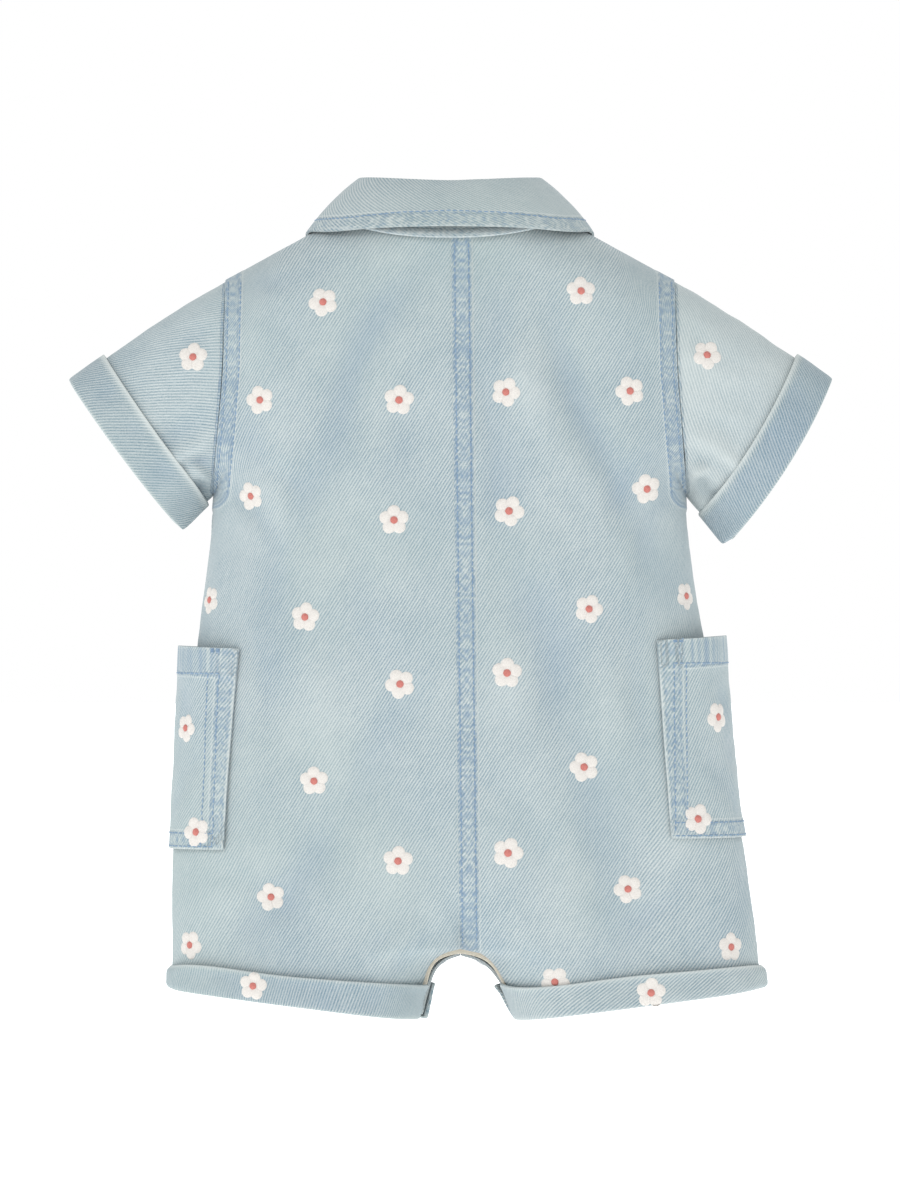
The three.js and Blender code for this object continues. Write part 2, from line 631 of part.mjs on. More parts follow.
/** One line of a turned-up cuff: up the outside, round the fold and under the end of the cloth it holds. */
function cuffLine(places, end, outward, normal, spread = 0) {
  const outer = [];
  const inner = [];
  places.forEach(({ point, normal: away }, k) => {
    const rise = CUFF_GAP + CUFF_FOLD + spread + CUFF_FLARE * CUFF_PROFILE[k];
    outer.push(point.clone().addScaledVector(away, rise));
    inner.push(point.clone().addScaledVector(away, CUFF_GAP + spread));
  });
  const lip = (list, out, away) => list.push(end.clone().addScaledVector(outward, out).addScaledVector(normal, away));
  for (const { reach, rise, spreads } of CUFF_LIP_LINES) lip(outer, CUFF_LIP * reach, rise + spread * spreads);
  for (const { reach, rise, spreads } of CUFF_INNER_LINES) lip(inner, reach, rise + spread * spreads);
  return { outer, inner };
}

/** The turned-up cuff of a sleeve. */
function sleeveCuff(name, side) {
  const face = sleeveFace(side);
  const outer = [];
  const inner = [];
  for (let k = 0; k < face.count; k += 1) {
    const width = Math.min(SLEEVE_CUFF, face.lengths[k] - ARMPIT_CLEAR) / face.lengths[k];
    const places = CUFF_PROFILE.map((share) => {
      const along = 1 - width * (1 - share);
      return { point: face.at(k, along), normal: sleeveNormal(face, k, along) };
    });
    const line = cuffLine(places, face.ends[k], face.outward, sleeveNormal(face, k, 1));
    outer.push(line.outer);
    inner.push(line.inner);
  }
  return wall(name, outer, inner, DENIM_DEEP, { wrapRows: true });
}

/** The row at which a column of a leg has climbed to a height above its hem. */
function rowAboveHem(side, face, column, height) {
  const hem = panelPoint(side, face, column, HEM_ROW).z;
  let below = { row: HEM_ROW, up: 0 };
  for (let k = 1; k <= LEG_SEARCH_STEPS; k += 1) {
    const row = HEM_ROW - (ROWS_LEG * k) / LEG_SEARCH_STEPS;
    const above = { row, up: panelPoint(side, face, column, row).z - hem };
    if (above.up >= height) return lerp(below.row, above.row, (height - below.up) / (above.up - below.up));
    below = above;
  }
  return CROTCH_ROW;
}

/** The turned-up cuff of a leg, open at the inseam where the snaps are. */
function legCuff(name, side) {
  const outer = [];
  const inner = [];
  const range = { u0: 0, u1: COLUMNS, v0: CROTCH_ROW, v1: HEM_ROW };
  const normalOf = (face, column, row) =>
    faceNormal((u, v) => panelPoint(side, face, u, v), column, row, range, side * face);
  const addLine = (face, column) => {
    const pointAt = (row) => panelPoint(side, face, column, row);
    const atSide = column === COLUMNS;
    const normalAt = (row) =>
      atSide
        ? normalOf(BACK, column, row).add(normalOf(FRONT, column, row)).normalize()
        : normalOf(face, column, row);
    const out = column / COLUMNS;
    const height = lerp(LEG_CUFF.inner, LEG_CUFF.outer, out);
    const places = CUFF_PROFILE.map((share) => {
      const row = rowAboveHem(side, face, column, height * (1 - share));
      return { point: pointAt(row), normal: normalAt(row) };
    });
    const down = pointAt(HEM_ROW).sub(pointAt(HEM_ROW - 0.5)).normalize();
    const line = cuffLine(places, pointAt(HEM_ROW), down, normalAt(HEM_ROW), LEG_CUFF_SPREAD * out ** 3);
    outer.push(line.outer);
    inner.push(line.inner);
  };
  for (const column of counts(COLUMNS)) addLine(BACK, column);
  for (const column of counts(COLUMNS - 1).reverse()) addLine(FRONT, column);
  return wall(name, outer, inner, DENIM_DEEP);
}

/** A pocket laid over a side seam, sewn down along its sides and bottom and gaping at its mouth. */
function pocket(name, side) {
  const { top, bottom, back, front, gape } = POCKETS[side];
  const outer = [];
  const inner = [];
  for (const level of POCKET_LEVELS) {
    const row = rowAtHeight(lerp(top, bottom, level));
    const pointAt = (around, v) => sidePoint(side, around, v);
    const points = [];
    const insides = [];
    for (const column of counts(POCKET_COLUMNS)) {
      const share = (2 * column) / POCKET_COLUMNS - 1;
      const edge = share < 0 ? back : front;
      const around = (share === 0 ? -1e-3 : share) * lerp(edge[0], edge[1], level);
      const point = pointAt(around, row);
      const du = pointAt(around + POCKET_STEP.around, row).sub(pointAt(around - POCKET_STEP.around, row));
      const dv = pointAt(around, row + POCKET_STEP.row).sub(pointAt(around, row - POCKET_STEP.row));
      const normal = du.cross(dv).normalize();
      if (normal.x * side < 0) normal.negate();
      const bulge = (1 - level) ** POCKET_GAPE_FALL * Math.cos((share * Math.PI) / 2) ** POCKET_GAPE_ROUND;
      const hem = level * (top - bottom) < POCKET_HEM ? POCKET_HEM_RAISE : 0;
      const lift = SEAM_GAP + gape * bulge;
      points.push(point.clone().addScaledVector(normal, lift + CLOTH + hem));
      insides.push(point.clone().addScaledVector(normal, lift));
    }
    outer.push(points);
    inner.push(insides);
  }
  return wall(name, outer, inner, DENIM);
}

/** A point of the collar's table at an angle from the centre back. Its x has the angle's sign. */
function collarPoint(part, turn) {
  const value = (axis) => alongTable(COLLAR, 'turn', part + axis, Math.abs(turn));
  return new THREE.Vector3(Math.sign(turn) * value('X'), value('Y'), value('Z'));
}

/** A point of the neck seam at an angle from the centre back. */
function neckPoint(turn) {
  const x = NECK_HALF * Math.sin(degToRad(turn));
  const face = Math.abs(turn) < 90 ? BACK : FRONT;
  const z = topZ(face, x);
  return new THREE.Vector3(x, face * depthAt(face, x, z), z);
}

/** Level direction away from the neck, square to the roll line. */
function collarOut(turn) {
  const run = collarPoint('roll', turn + 1).sub(collarPoint('roll', turn - 1));
  return new THREE.Vector3(run.y, -run.x, 0).normalize();
}

/** The angles at which the collar's columns stand. */
const collarTurns = () => counts(COLLAR_COLUMNS).map((k) => lerp(-COLLAR_END, COLLAR_END, k / COLLAR_COLUMNS) + 1e-4);

/** A wall along the collar from its outer lines, moved in square to each line. The first hooked lines face up. */
function collarWall(name, lines, outs, look, hooked = 0) {
  const inner = lines.map((line, c) =>
    line.map((point, k) => {
      const along = line[Math.min(k + 1, line.length - 1)].clone().sub(line[Math.max(k - 1, 0)]);
      const before = lines[Math.max(c - 1, 0)][k];
      const after = lines[Math.min(c + 1, lines.length - 1)][k];
      const normal = along.cross(after.clone().sub(before)).normalize();
      const reference = outs[c].clone().setZ(k === 0 ? 0 : LEAF_LEAN);
      if (k < hooked) reference.set(0, 0, 1);
      if (normal.dot(reference) < 0) normal.negate();
      return point.clone().addScaledVector(normal, -CLOTH);
    }),
  );
  return wall(name, lines, inner, look);
}

/** The collar's stand, which rises from the neck seam to just under the roll. */
function collarStand(name) {
  const turns = collarTurns();
  const outs = turns.map(collarOut);
  const lines = turns.map((turn, c) => {
    const lift = lerp(STAND_FOOT.back, STAND_FOOT.front, smoothstep(Math.abs(turn), 60, 90));
    const foot = neckPoint(turn).add(new THREE.Vector3(0, 0, lift));
    const top = collarPoint('roll', turn).addScaledVector(outs[c], STAND_TOP.out);
    top.z += STAND_TOP.up;
    return [0, 0.5, 1].map((share) => foot.clone().lerp(top, share));
  });
  return collarWall(name, lines, outs, DENIM_DEEP);
}

/** The collar's leaf, hooked over the stand's top and falling to its free edge. */
function collarLeaf(name) {
  const turns = collarTurns();
  const outs = turns.map(collarOut);
  const lines = turns.map((turn, c) => {
    const roll = collarPoint('roll', turn);
    const edge = collarPoint('edge', turn);
    const bend = roll.clone().lerp(edge, 0.5).addScaledVector(outs[c], COLLAR_BOW * 0.6);
    bend.z += COLLAR_BOW;
    const hook = LEAF_HOOK.map(({ out, up }) => {
      const point = roll.clone().addScaledVector(outs[c], out);
      point.z += up;
      return point;
    });
    const curve = new THREE.QuadraticBezierCurve3(hook[hook.length - 1], bend, edge);
    return [...hook, ...LEAF_FALL.map((share) => curve.getPoint(share))];
  });
  return collarWall(name, lines, outs, DENIM_DEEP, LEAF_HOOK.length);
}

/** A point of the front, moved out along the face, with that face's direction. */
function frontPlace(x, z) {
  const step = 0.5;
  const slopeX = (depthAt(FRONT, x + step, z) - depthAt(FRONT, x - step, z)) / (2 * step);
  const slopeZ = (depthAt(FRONT, x, z + step) - depthAt(FRONT, x, z - step)) / (2 * step);
  const normal = new THREE.Vector3(-slopeX, 1, -slopeZ).normalize();
  return { point: new THREE.Vector3(x, depthAt(FRONT, x, z), z), normal };
}

/** The placket over the centre front opening. */
function placket(name) {
  const outer = [];
  const inner = [];
  for (const row of counts(PLACKET_ROWS)) {
    const points = [];
    const insides = [];
    for (const column of counts(PLACKET_COLUMNS)) {
      const level = lerp(PLACKET.top, PLACKET.bottom, row / PLACKET_ROWS);
      const x = centreX(level) + lerp(-PLACKET.half, PLACKET.half, column / PLACKET_COLUMNS);
      const rise = (topZ(FRONT, x) - NECK_FRONT.low) * (1 - row / PLACKET_ROWS) ** 3;
      const { point, normal } = frontPlace(x, level + rise);
      points.push(point.clone().addScaledVector(normal, SEAM_GAP + PLACKET.thick));
      insides.push(point.clone().addScaledVector(normal, SEAM_GAP));
    }
    outer.push(points);
    inner.push(insides);
  }
  return wall(name, outer, inner, DENIM_DEEP);
}

/** A press stud's cap, standing on a face. */
function stud(name, { point, normal }, lift) {
  const { radius, height, sides } = STUD;
  const profile = [
    [0, 0],
    [radius * 0.94, 0],
    [radius, height * 0.45],
    [radius * 0.8, height * 0.95],
    [radius * 0.45, height * 0.8],
    [0, height],
  ].map(([across, up]) => new THREE.Vector2(across, up));
  const geometry = new THREE.LatheGeometry(profile, sides);
  geometry.rotateX(Math.PI / 2);
  const mesh = named(new THREE.Mesh(geometry, new THREE.MeshStandardMaterial(METAL)), name);
  mesh.position.copy(point).addScaledVector(normal, lift);
  mesh.quaternion.setFromUnitVectors(new THREE.Vector3(0, 0, 1), normal);
  return mesh;
}

/** The studs down the placket. */
function placketStuds() {
  return PLACKET_STUD_ZS.map((z, k) => {
    const lift = 2 * SEAM_GAP + PLACKET.thick + PLACKET_STUD_LIFT;
    return stud(`placket_stud_${k + 1}`, frontPlace(centreX(z), z), lift);
  });
}

/** The studs beside the front's inseams. The lower ones stand on the cuffs. */
function inseamStuds() {
  return [LEFT, RIGHT].flatMap((side) =>
    INSEAM_STUDS.map(({ row: below, onCuff }, k) => {
      const row = CROTCH_ROW + below;
      const line = storedLine(side, FRONT, row);
      const at = (length, v) => pointAtLength(storedLine(side, FRONT, v), length);
      const point = pointAtLength(line, INSEAM_STUD_IN);
      const du = at(INSEAM_STUD_IN + STUD_STEP.length, row).sub(at(INSEAM_STUD_IN - STUD_STEP.length, row));
      const dv = at(INSEAM_STUD_IN, row + STUD_STEP.row).sub(at(INSEAM_STUD_IN, row - STUD_STEP.row));
      const normal = du.cross(dv).normalize();
      if (normal.y < 0) normal.negate();
      const cuffRise = CUFF_GAP + CUFF_FOLD + CUFF_FLARE / 2;
      const lift = onCuff ? cuffRise + SEAM_GAP : 2 * SEAM_GAP + STUD_LIFT;
      return stud(`inseam_stud_${side === LEFT ? 'left' : 'right'}_${k + 1}`, { point, normal }, lift);
    }),
  );
}

/** The band that holds the snaps, along the inseams and round the crotch, between front and back. */
function snapBand(name) {
  const edge = [];
  for (const side of [LEFT, RIGHT]) {
    const steps = archSteps(BAND_ARCH, side);
    const run = counts(SNAP_BAND.steps / 2).map((k) => {
      const z = archZ(steps, (k / (SNAP_BAND.steps / 2)) * SNAP_BAND.share);
      return new THREE.Vector3(CROTCH_X + side * archHalf(BAND_ARCH, side, z), 0, z);
    });
    edge.push(...(side === LEFT ? run.reverse() : run.slice(1)));
  }
  const line = (y) =>
    edge.map((point, k) => {
      const run = edge[Math.min(k + 1, edge.length - 1)].clone().sub(edge[Math.max(k - 1, 0)]);
      const into = new THREE.Vector3(-run.z, 0, run.x).normalize();
      return [0, 1].map((share) => point.clone().addScaledVector(into, share * SNAP_BAND.width).setY(y));
    });
  return wall(name, line(-SNAP_BAND.half), line(SNAP_BAND.half), TAPE);
}

const romper = new THREE.Group();
romper.name = 'baby_romper';
romper.add(
  panel('back_left', LEFT, BACK),
  panel('back_right', RIGHT, BACK),
  panel('front_left', LEFT, FRONT),
  panel('front_right', RIGHT, FRONT),
  sleeve('sleeve_left', LEFT),
  sleeve('sleeve_right', RIGHT),
  sleeveCuff('sleeve_cuff_left', LEFT),
  sleeveCuff('sleeve_cuff_right', RIGHT),
  legCuff('leg_cuff_left', LEFT),
  legCuff('leg_cuff_right', RIGHT),
  pocket('pocket_left', LEFT),
  pocket('pocket_right', RIGHT),
  collarStand('collar_stand'),
  collarLeaf('collar_leaf'),
  placket('front_placket'),
  snapBand('snap_band'),
  ...placketStuds(),
  ...inseamStuds(),
);

export default romper;
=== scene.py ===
"""Looks of a baby romper in washed pale denim: cloth, seams, stitching, daisies, studs and studio.

Sizes in the tables are millimetres in the garment's own frame: x to the wearer's right, z up and
the back towards -y. The picture shows the back, so its left is the wearer's left.
Flat sizes and the studio's places are in metres, and areas in square metres.
"""

import json
import logging
import math
import random
from dataclasses import dataclass
from enum import Enum
from typing import Iterable, Optional, Sequence

import bpy
import numpy as np
from mathutils import Matrix, Vector
from mathutils.bvhtree import BVHTree

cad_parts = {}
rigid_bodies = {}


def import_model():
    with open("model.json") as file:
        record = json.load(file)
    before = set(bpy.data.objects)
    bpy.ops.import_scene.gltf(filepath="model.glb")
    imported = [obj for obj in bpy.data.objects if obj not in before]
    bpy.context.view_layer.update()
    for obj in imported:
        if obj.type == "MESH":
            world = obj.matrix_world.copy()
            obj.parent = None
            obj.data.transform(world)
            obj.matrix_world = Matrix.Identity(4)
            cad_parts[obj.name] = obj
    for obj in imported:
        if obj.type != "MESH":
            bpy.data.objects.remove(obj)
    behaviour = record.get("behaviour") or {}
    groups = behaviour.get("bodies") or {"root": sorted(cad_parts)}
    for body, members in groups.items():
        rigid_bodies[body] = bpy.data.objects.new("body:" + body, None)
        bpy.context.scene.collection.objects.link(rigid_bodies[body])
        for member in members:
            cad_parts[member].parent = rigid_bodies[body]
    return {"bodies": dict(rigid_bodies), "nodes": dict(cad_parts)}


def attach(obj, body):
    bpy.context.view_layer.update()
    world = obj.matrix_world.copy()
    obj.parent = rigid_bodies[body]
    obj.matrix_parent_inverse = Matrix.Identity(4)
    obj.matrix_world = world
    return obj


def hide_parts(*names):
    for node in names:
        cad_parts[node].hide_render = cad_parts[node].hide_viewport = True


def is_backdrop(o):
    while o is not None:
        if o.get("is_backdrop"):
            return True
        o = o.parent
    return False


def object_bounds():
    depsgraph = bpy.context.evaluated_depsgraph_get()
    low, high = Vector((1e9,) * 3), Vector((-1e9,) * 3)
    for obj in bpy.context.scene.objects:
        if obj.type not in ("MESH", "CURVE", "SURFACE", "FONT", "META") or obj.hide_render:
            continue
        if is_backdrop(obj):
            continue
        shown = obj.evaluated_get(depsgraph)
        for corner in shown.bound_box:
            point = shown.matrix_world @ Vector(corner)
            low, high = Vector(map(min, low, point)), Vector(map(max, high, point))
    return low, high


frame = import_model()
CAD_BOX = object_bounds()
BODY = next(iter(frame["bodies"]))

MM = 0.001
EYE_HEIGHT = -180.0  # level of the camera
EYE_AWAY = 4000.0  # distance of the camera from the middle of the garment
PICTURE_HEIGHT = 600.0  # what the picture shows, top to bottom, at the garment's middle
log = logging.getLogger("romper")


class Face(Enum):
    """The side of the garment that something is on."""

    BACK = -1
    FRONT = 1


class Held(Enum):
    """How a piece of cloth is held up."""

    HUNG = "hung"
    FOLDED = "folded"
    STRETCHED = "stretched"


class Edge(Enum):
    """An edge of a piece of cloth that is laid flat."""

    TOP = "top"
    FOOT = "foot"
    LEFT = "left"
    RIGHT = "right"


# Small tools for meshes


def only(piece: bpy.types.Object) -> None:
    """Selects one object alone and makes it the active one."""
    bpy.ops.object.select_all(action="DESELECT")
    piece.select_set(True)
    bpy.context.view_layer.objects.active = piece


def named(piece: bpy.types.Object, name: str) -> bpy.types.Object:
    """Gives an object and its mesh a name, and returns the object."""
    piece.name = name
    piece.data.name = name
    return piece


def smooth(value: np.ndarray, low: float, high: float) -> np.ndarray:
    """A soft step from 0 at low to 1 at high."""
    share = np.clip((value - low) / (high - low), 0.0, 1.0)
    return share * share * (3.0 - 2.0 * share)


def rumple(points: np.ndarray, length: float, seed: int) -> np.ndarray:
    """Soft unevenness, made of waves that run in many directions.

    Args:
        points: places in millimetres, one row each.
        length: typical distance from one rise to the next.
        seed: chooses the waves.

    Returns:
        A height from about -1 to 1 for each place.
    """
    chance = np.random.default_rng(seed)
    total = np.zeros(len(points))
    for _ in range(9):
        way = chance.normal(size=3)
        way /= np.linalg.norm(way)
        wave = length * chance.uniform(0.7, 1.6)
        total += np.sin(points @ way * (2 * math.pi / wave) + chance.uniform(0, 2 * math.pi))
    return total / 4.2


def ride_and_slot(piece: bpy.types.Object, slot: str) -> None:
    """Makes a piece part of the garment."""
    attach(piece, BODY)


# Shader maths


class Wire:
    """A socket of a shader node that takes part in sums as a number does."""

    def __init__(self, graph: "Graph", socket: bpy.types.NodeSocket) -> None:
        """Keeps the socket and the graph that it belongs to."""
        self.graph = graph
        self.socket = socket

    def _sum(self, operation: str, *values: "Wire | float") -> "Wire":
        """Adds one Math node."""
        return self.graph.add("ShaderNodeMath", {"operation": operation}, dict(enumerate(values)))

    def __add__(self, other: "Wire | float") -> "Wire":
        """self + other"""
        return self._sum("ADD", self, other)

    __radd__ = __add__

    def __sub__(self, other: "Wire | float") -> "Wire":
        """self - other"""
        return self._sum("SUBTRACT", self, other)

    def __rsub__(self, other: float) -> "Wire":
        """other - self"""
        return self._sum("SUBTRACT", other, self)

    def __mul__(self, other: "Wire | float") -> "Wire":
        """self * other"""
        return self._sum("MULTIPLY", self, other)

    __rmul__ = __mul__

    def __truediv__(self, other: "Wire | float") -> "Wire":
        """self / other"""
        return self._sum("DIVIDE", self, other)

    def sine(self) -> "Wire":
        """Sine of the value, in radians."""
        return self._sum("SINE", self)

    def size(self) -> "Wire":
        """The value without its sign."""
        return self._sum("ABSOLUTE", self)

    def at_least(self, low: float) -> "Wire":
        """The value, and never less than low."""
        return self._sum("MAXIMUM", self, low)

    def at_most(self, high: float) -> "Wire":
        """The value, and never more than high."""
        return self._sum("MINIMUM", self, high)

    def share(self) -> "Wire":
        """The value, kept between 0 and 1."""
        return self.at_least(0.0).at_most(1.0)


class Graph:
    """The node tree of one finish, with one method that adds any node."""

    def __init__(self, name: str) -> None:
        """Makes a material with an empty node tree."""
        self.material = bpy.data.materials.new(name)
        self.material.use_nodes = True
        self.tree = self.material.node_tree
        self.tree.nodes.clear()

    def add(
        self, kind: str, settings: Optional[dict] = None, inputs: Optional[dict] = None, output: int | str = 0
    ) -> Wire:
        """Adds a node.

        Args:
            kind: the node's type.
            settings: its properties, set first.
            inputs: a number, colour or wire for each socket that is set.
            output: the socket that the returned wire carries.

        Returns:
            The wire of the chosen output.
        """
        node = self.tree.nodes.new(kind)
        for key, value in (settings or {}).items():
            setattr(node, key, value)
        for key, value in (inputs or {}).items():
            if isinstance(value, Wire):
                self.tree.links.new(value.socket, node.inputs[key])
            else:
                node.inputs[key].default_value = value
        return Wire(self, node.outputs[output] if node.outputs else None)

    def weave_place(self) -> tuple[Wire, Wire]:
        """Place on the cloth in millimetres: along the twill's lines, and across them."""
        uv = self.add("ShaderNodeUVMap", {"uv_map": "weave"})
        split = self.add("ShaderNodeSeparateXYZ", inputs={0: uv})
        across = Wire(self, split.socket.node.outputs[1])
        return split * 1000.0, across * 1000.0

    def noise(self, x: Wire, y: Wire, detail: float = 1.0) -> Wire:
        """Flat noise from 0 to 1 at a place given in units of its own size."""
        place = self.add("ShaderNodeCombineXYZ", inputs={0: x, 1: y})
        wanted = {"Vector": place, "Scale": 1.0, "Detail": detail}
        return self.add("ShaderNodeTexNoise", {"noise_dimensions": "2D"}, wanted)

    def cloud(self, size: float, detail: float = 2.0) -> Wire:
        """Noise from 0 to 1 through the garment's space, with patches of that size in millimetres."""
        place = self.add("ShaderNodeTexCoord", output="Object")
        wanted = {"Vector": place, "Scale": 1000.0 / size, "Detail": detail}
        return self.add("ShaderNodeTexNoise", inputs=wanted)

    def attribute(self, name: str) -> Wire:
        """A value that the piece's mesh carries."""
        return self.add("ShaderNodeAttribute", {"attribute_name": name}, output="Fac")

    def mix(self, share: Wire | float, first: Wire | tuple, second: Wire | tuple) -> Wire:
        """Mixes two colours, all first at 0 and all second at 1."""
        return self.add("ShaderNodeMix", {"data_type": "RGBA"}, {0: share, 6: first, 7: second}, 2)

    def bump(self, height: Wire, depth: float, strength: float) -> Wire:
        """Turns a height from 0 to 1 into a normal, for relief of that depth in millimetres."""
        wanted = {"Height": height, "Distance": depth * MM, "Strength": strength}
        return self.add("ShaderNodeBump", inputs=wanted)

    def surface(self, colour: Wire, normal: Wire, constants: dict) -> bpy.types.Material:
        """Ends the tree in a Principled shader.

        Args:
            colour: what feeds Base Color.
            normal: what feeds Normal.
            constants: values set on the shader's own sockets.

        Returns:
            The finished material.
        """
        wanted = {"Base Color": colour, "Normal": normal, **constants}
        shader = self.add("ShaderNodeBsdfPrincipled", inputs=wanted)
        self.add("ShaderNodeOutputMaterial", inputs={"Surface": shader})
        return self.material


def rgb(red: int, green: int, blue: int) -> tuple[float, float, float, float]:
    """A screen colour from 0 to 255, as the linear colour that a shader wants."""

    def linear(level: int) -> float:
        """One channel."""
        share = level / 255.0
        return share / 12.92 if share <= 0.04045 else ((share + 0.055) / 1.055) ** 2.4

    return (linear(red), linear(green), linear(blue), 1.0)


# Finishes


@dataclass(frozen=True)
class DenimFinish:
    """Washed denim twill: diagonal lines of pale blue warp over white weft, with greener patches.

    Along the sewn bands the cloth is bluer, mottled and puckered between its two rows of stitches.
    The piece's mesh says where the bands are, and where the cloth is paler or bluer: from wear, and as
    painted light and shade in folds, on a sleeve cuff's free edge, on the right sleeve and on the collar's
    stand.
    """

    name: str
    warp: tuple
    weft: tuple
    blue: tuple = rgb(96, 122, 148)
    pale: tuple = rgb(188, 194, 192)
    green: tuple = rgb(152, 166, 162)
    pitch: float = 1.38
    contrast: float = 1.0
    relief: float = 0.2

    def build(self) -> bpy.types.Material:
        """Makes the material."""
        g = Graph(self.name)
        along, across = g.weave_place()
        wander = g.noise(along / 14.0, across / 14.0) - 0.5
        line = ((across / self.pitch + wander * 0.3) * (2 * math.pi)).sine()
        broken = g.noise(along / 1.9, across / 1.2, 1.0)
        yarn = g.noise(along / 0.7, across / 0.7, 1.0) - 0.5
        slub = g.noise(along / 8.0, across / 1.9, 1.0) - 0.5
        twill = line * (broken * 1.5 + 0.1)
        tone = 0.5 + twill * (0.4 * self.contrast) + yarn * 0.75 + slub * 0.22
        tone = tone + (g.cloud(26.0) - 0.5) * 0.35
        cloth = g.mix(tone.share(), self.warp, self.weft)
        cloth = g.mix(((g.cloud(95.0, 1.0) - 0.42) * 2.2).share() * 0.5, cloth, self.green)
        off, run = g.attribute("seam_off"), g.attribute("seam_run")
        band = ((1.5 - off) / 0.22).share()
        row = (1.0 - (off - 1.0).size() / 0.2).share()
        beside = (1.0 - (off - 1.46).size() / 0.2).share()
        mottle = (g.noise(run / 3.1 + off * 0.5, off * 2.1, 2.0) - 0.5) * 3.2
        slant = g.noise(run / 11.0, off * 0.8) * 2.6 + off * 0.2
        pucker = ((run / 4.6 + slant) * (2 * math.pi)).sine()
        pucker = pucker * (0.35 + g.noise(run / 17.0, off * 0.5) * 0.9)
        wash = g.attribute("wash") + yarn * 0.1
        wash = wash + band * (0.12 + mottle * 0.34 - pucker * 0.2) + row * 0.24
        wash = wash - beside * (0.42 + mottle * 0.15)
        cloth = g.mix(wash.at_least(0.0).at_most(0.85), cloth, self.blue)
        cloth = g.mix((wash * -1.0).at_least(0.0).at_most(0.85), cloth, self.pale)
        height = twill * 0.45 + yarn * 0.5 - row * 1.5
        height = height + (band + beside * 0.5) * (pucker * 0.9 + mottle * 0.3)
        normal = g.bump(0.5 + height, self.relief, 0.6)
        return g.surface(cloth, normal, {
            "Roughness": 0.9, "Specular IOR Level": 0.2, "Sheen Weight": 0.08, "Sheen Roughness": 0.5,
        })


@dataclass(frozen=True)
class PlainWeaveFinish:
    """Plain cream cotton, with threads that go over and under one another."""

    name: str
    light: tuple
    dark: tuple
    pitch: float = 0.7

    def build(self) -> bpy.types.Material:
        """Makes the material."""
        g = Graph(self.name)
        along, across = g.weave_place()
        over = (along * (2 * math.pi / self.pitch)).sine() * (across * (2 * math.pi / self.pitch)).sine()
        fuzz = g.noise(along / 0.8, across / 0.8, 2.0) - 0.5
        tone = (0.5 + over * 0.3 + fuzz * 0.7).at_least(0.0).at_most(1.0)
        return g.surface(g.mix(tone, self.dark, self.light), g.bump(tone, 0.12, 0.5), {
            "Roughness": 0.88, "Specular IOR Level": 0.25, "Sheen Weight": 0.08,
        })


@dataclass(frozen=True)
class SatinStitchFinish:
    """Embroidery thread laid side by side, with a soft shine."""

    name: str
    light: tuple
    dark: tuple
    pitch: float = 0.34
    relief: float = 0.14

    def build(self) -> bpy.types.Material:
        """Makes the material."""
        g = Graph(self.name)
        along, across = g.weave_place()
        wander = g.noise(along / 3.0, across / 3.0) - 0.5
        thread = ((across / self.pitch + wander * 0.8) * (2 * math.pi)).sine()
        fuzz = g.noise(along / 1.1, across / 0.3, 2.0) - 0.5
        tone = (0.6 + thread * 0.22 + fuzz * 0.9).at_least(0.0).at_most(1.0)
        normal = g.bump(0.5 + thread * 0.4 + fuzz * 0.4, self.relief, 0.7)
        return g.surface(g.mix(tone, self.dark, self.light), normal, {
            "Roughness": 0.6, "Specular IOR Level": 0.35, "Sheen Weight": 0.1,
        })


@dataclass(frozen=True)
class ThreadFinish:
    """Twisted sewing thread."""

    name: str
    light: tuple
    dark: tuple

    def build(self) -> bpy.types.Material:
        """Makes the material."""
        g = Graph(self.name)
        twist = g.cloud(0.6, 1.0)
        return g.surface(g.mix(twist, self.dark, self.light), g.bump(twist, 0.1, 0.6), {
            "Roughness": 0.7, "Specular IOR Level": 0.3, "Sheen Weight": 0.05,
        })


@dataclass(frozen=True)
class StudFinish:
    """Brushed press stud cap with a slightly worn coat."""

    name: str
    light: tuple
    dark: tuple

    def build(self) -> bpy.types.Material:
        """Makes the material."""
        g = Graph(self.name)
        place = g.add("ShaderNodeTexCoord", output="Object")
        drawn = g.add("ShaderNodeMapping", inputs={"Vector": place, "Scale": (160.0, 900.0, 5200.0)})
        brush = g.add("ShaderNodeTexNoise", inputs={"Vector": drawn, "Scale": 1.0, "Detail": 3.0})
        wear = g.cloud(1.6)
        tone = (brush * 0.6 + wear * 0.5).at_most(1.0)
        return g.surface(g.mix(tone, self.dark, self.light), g.bump(brush, 0.03, 0.3), {
            "Roughness": 0.38, "Metallic": 0.9,
        })


@dataclass(frozen=True)
class FloorFinish:
    """Plain white studio floor, which glows so that it shows no edge."""

    name: str
    light: tuple
    glow: float = 0.9

    def build(self) -> bpy.types.Material:
        """Makes the material."""
        g = Graph(self.name)
        grain = g.cloud(5.0, 1.0)
        return g.surface(g.mix(grain * 0.2, self.light, rgb(250, 250, 250)), g.bump(grain, 0.1, 0.1), {
            "Roughness": 0.95, "Specular IOR Level": 0.1, "Emission Color": rgb(255, 255, 255),
            "Emission Strength": self.glow,
        })


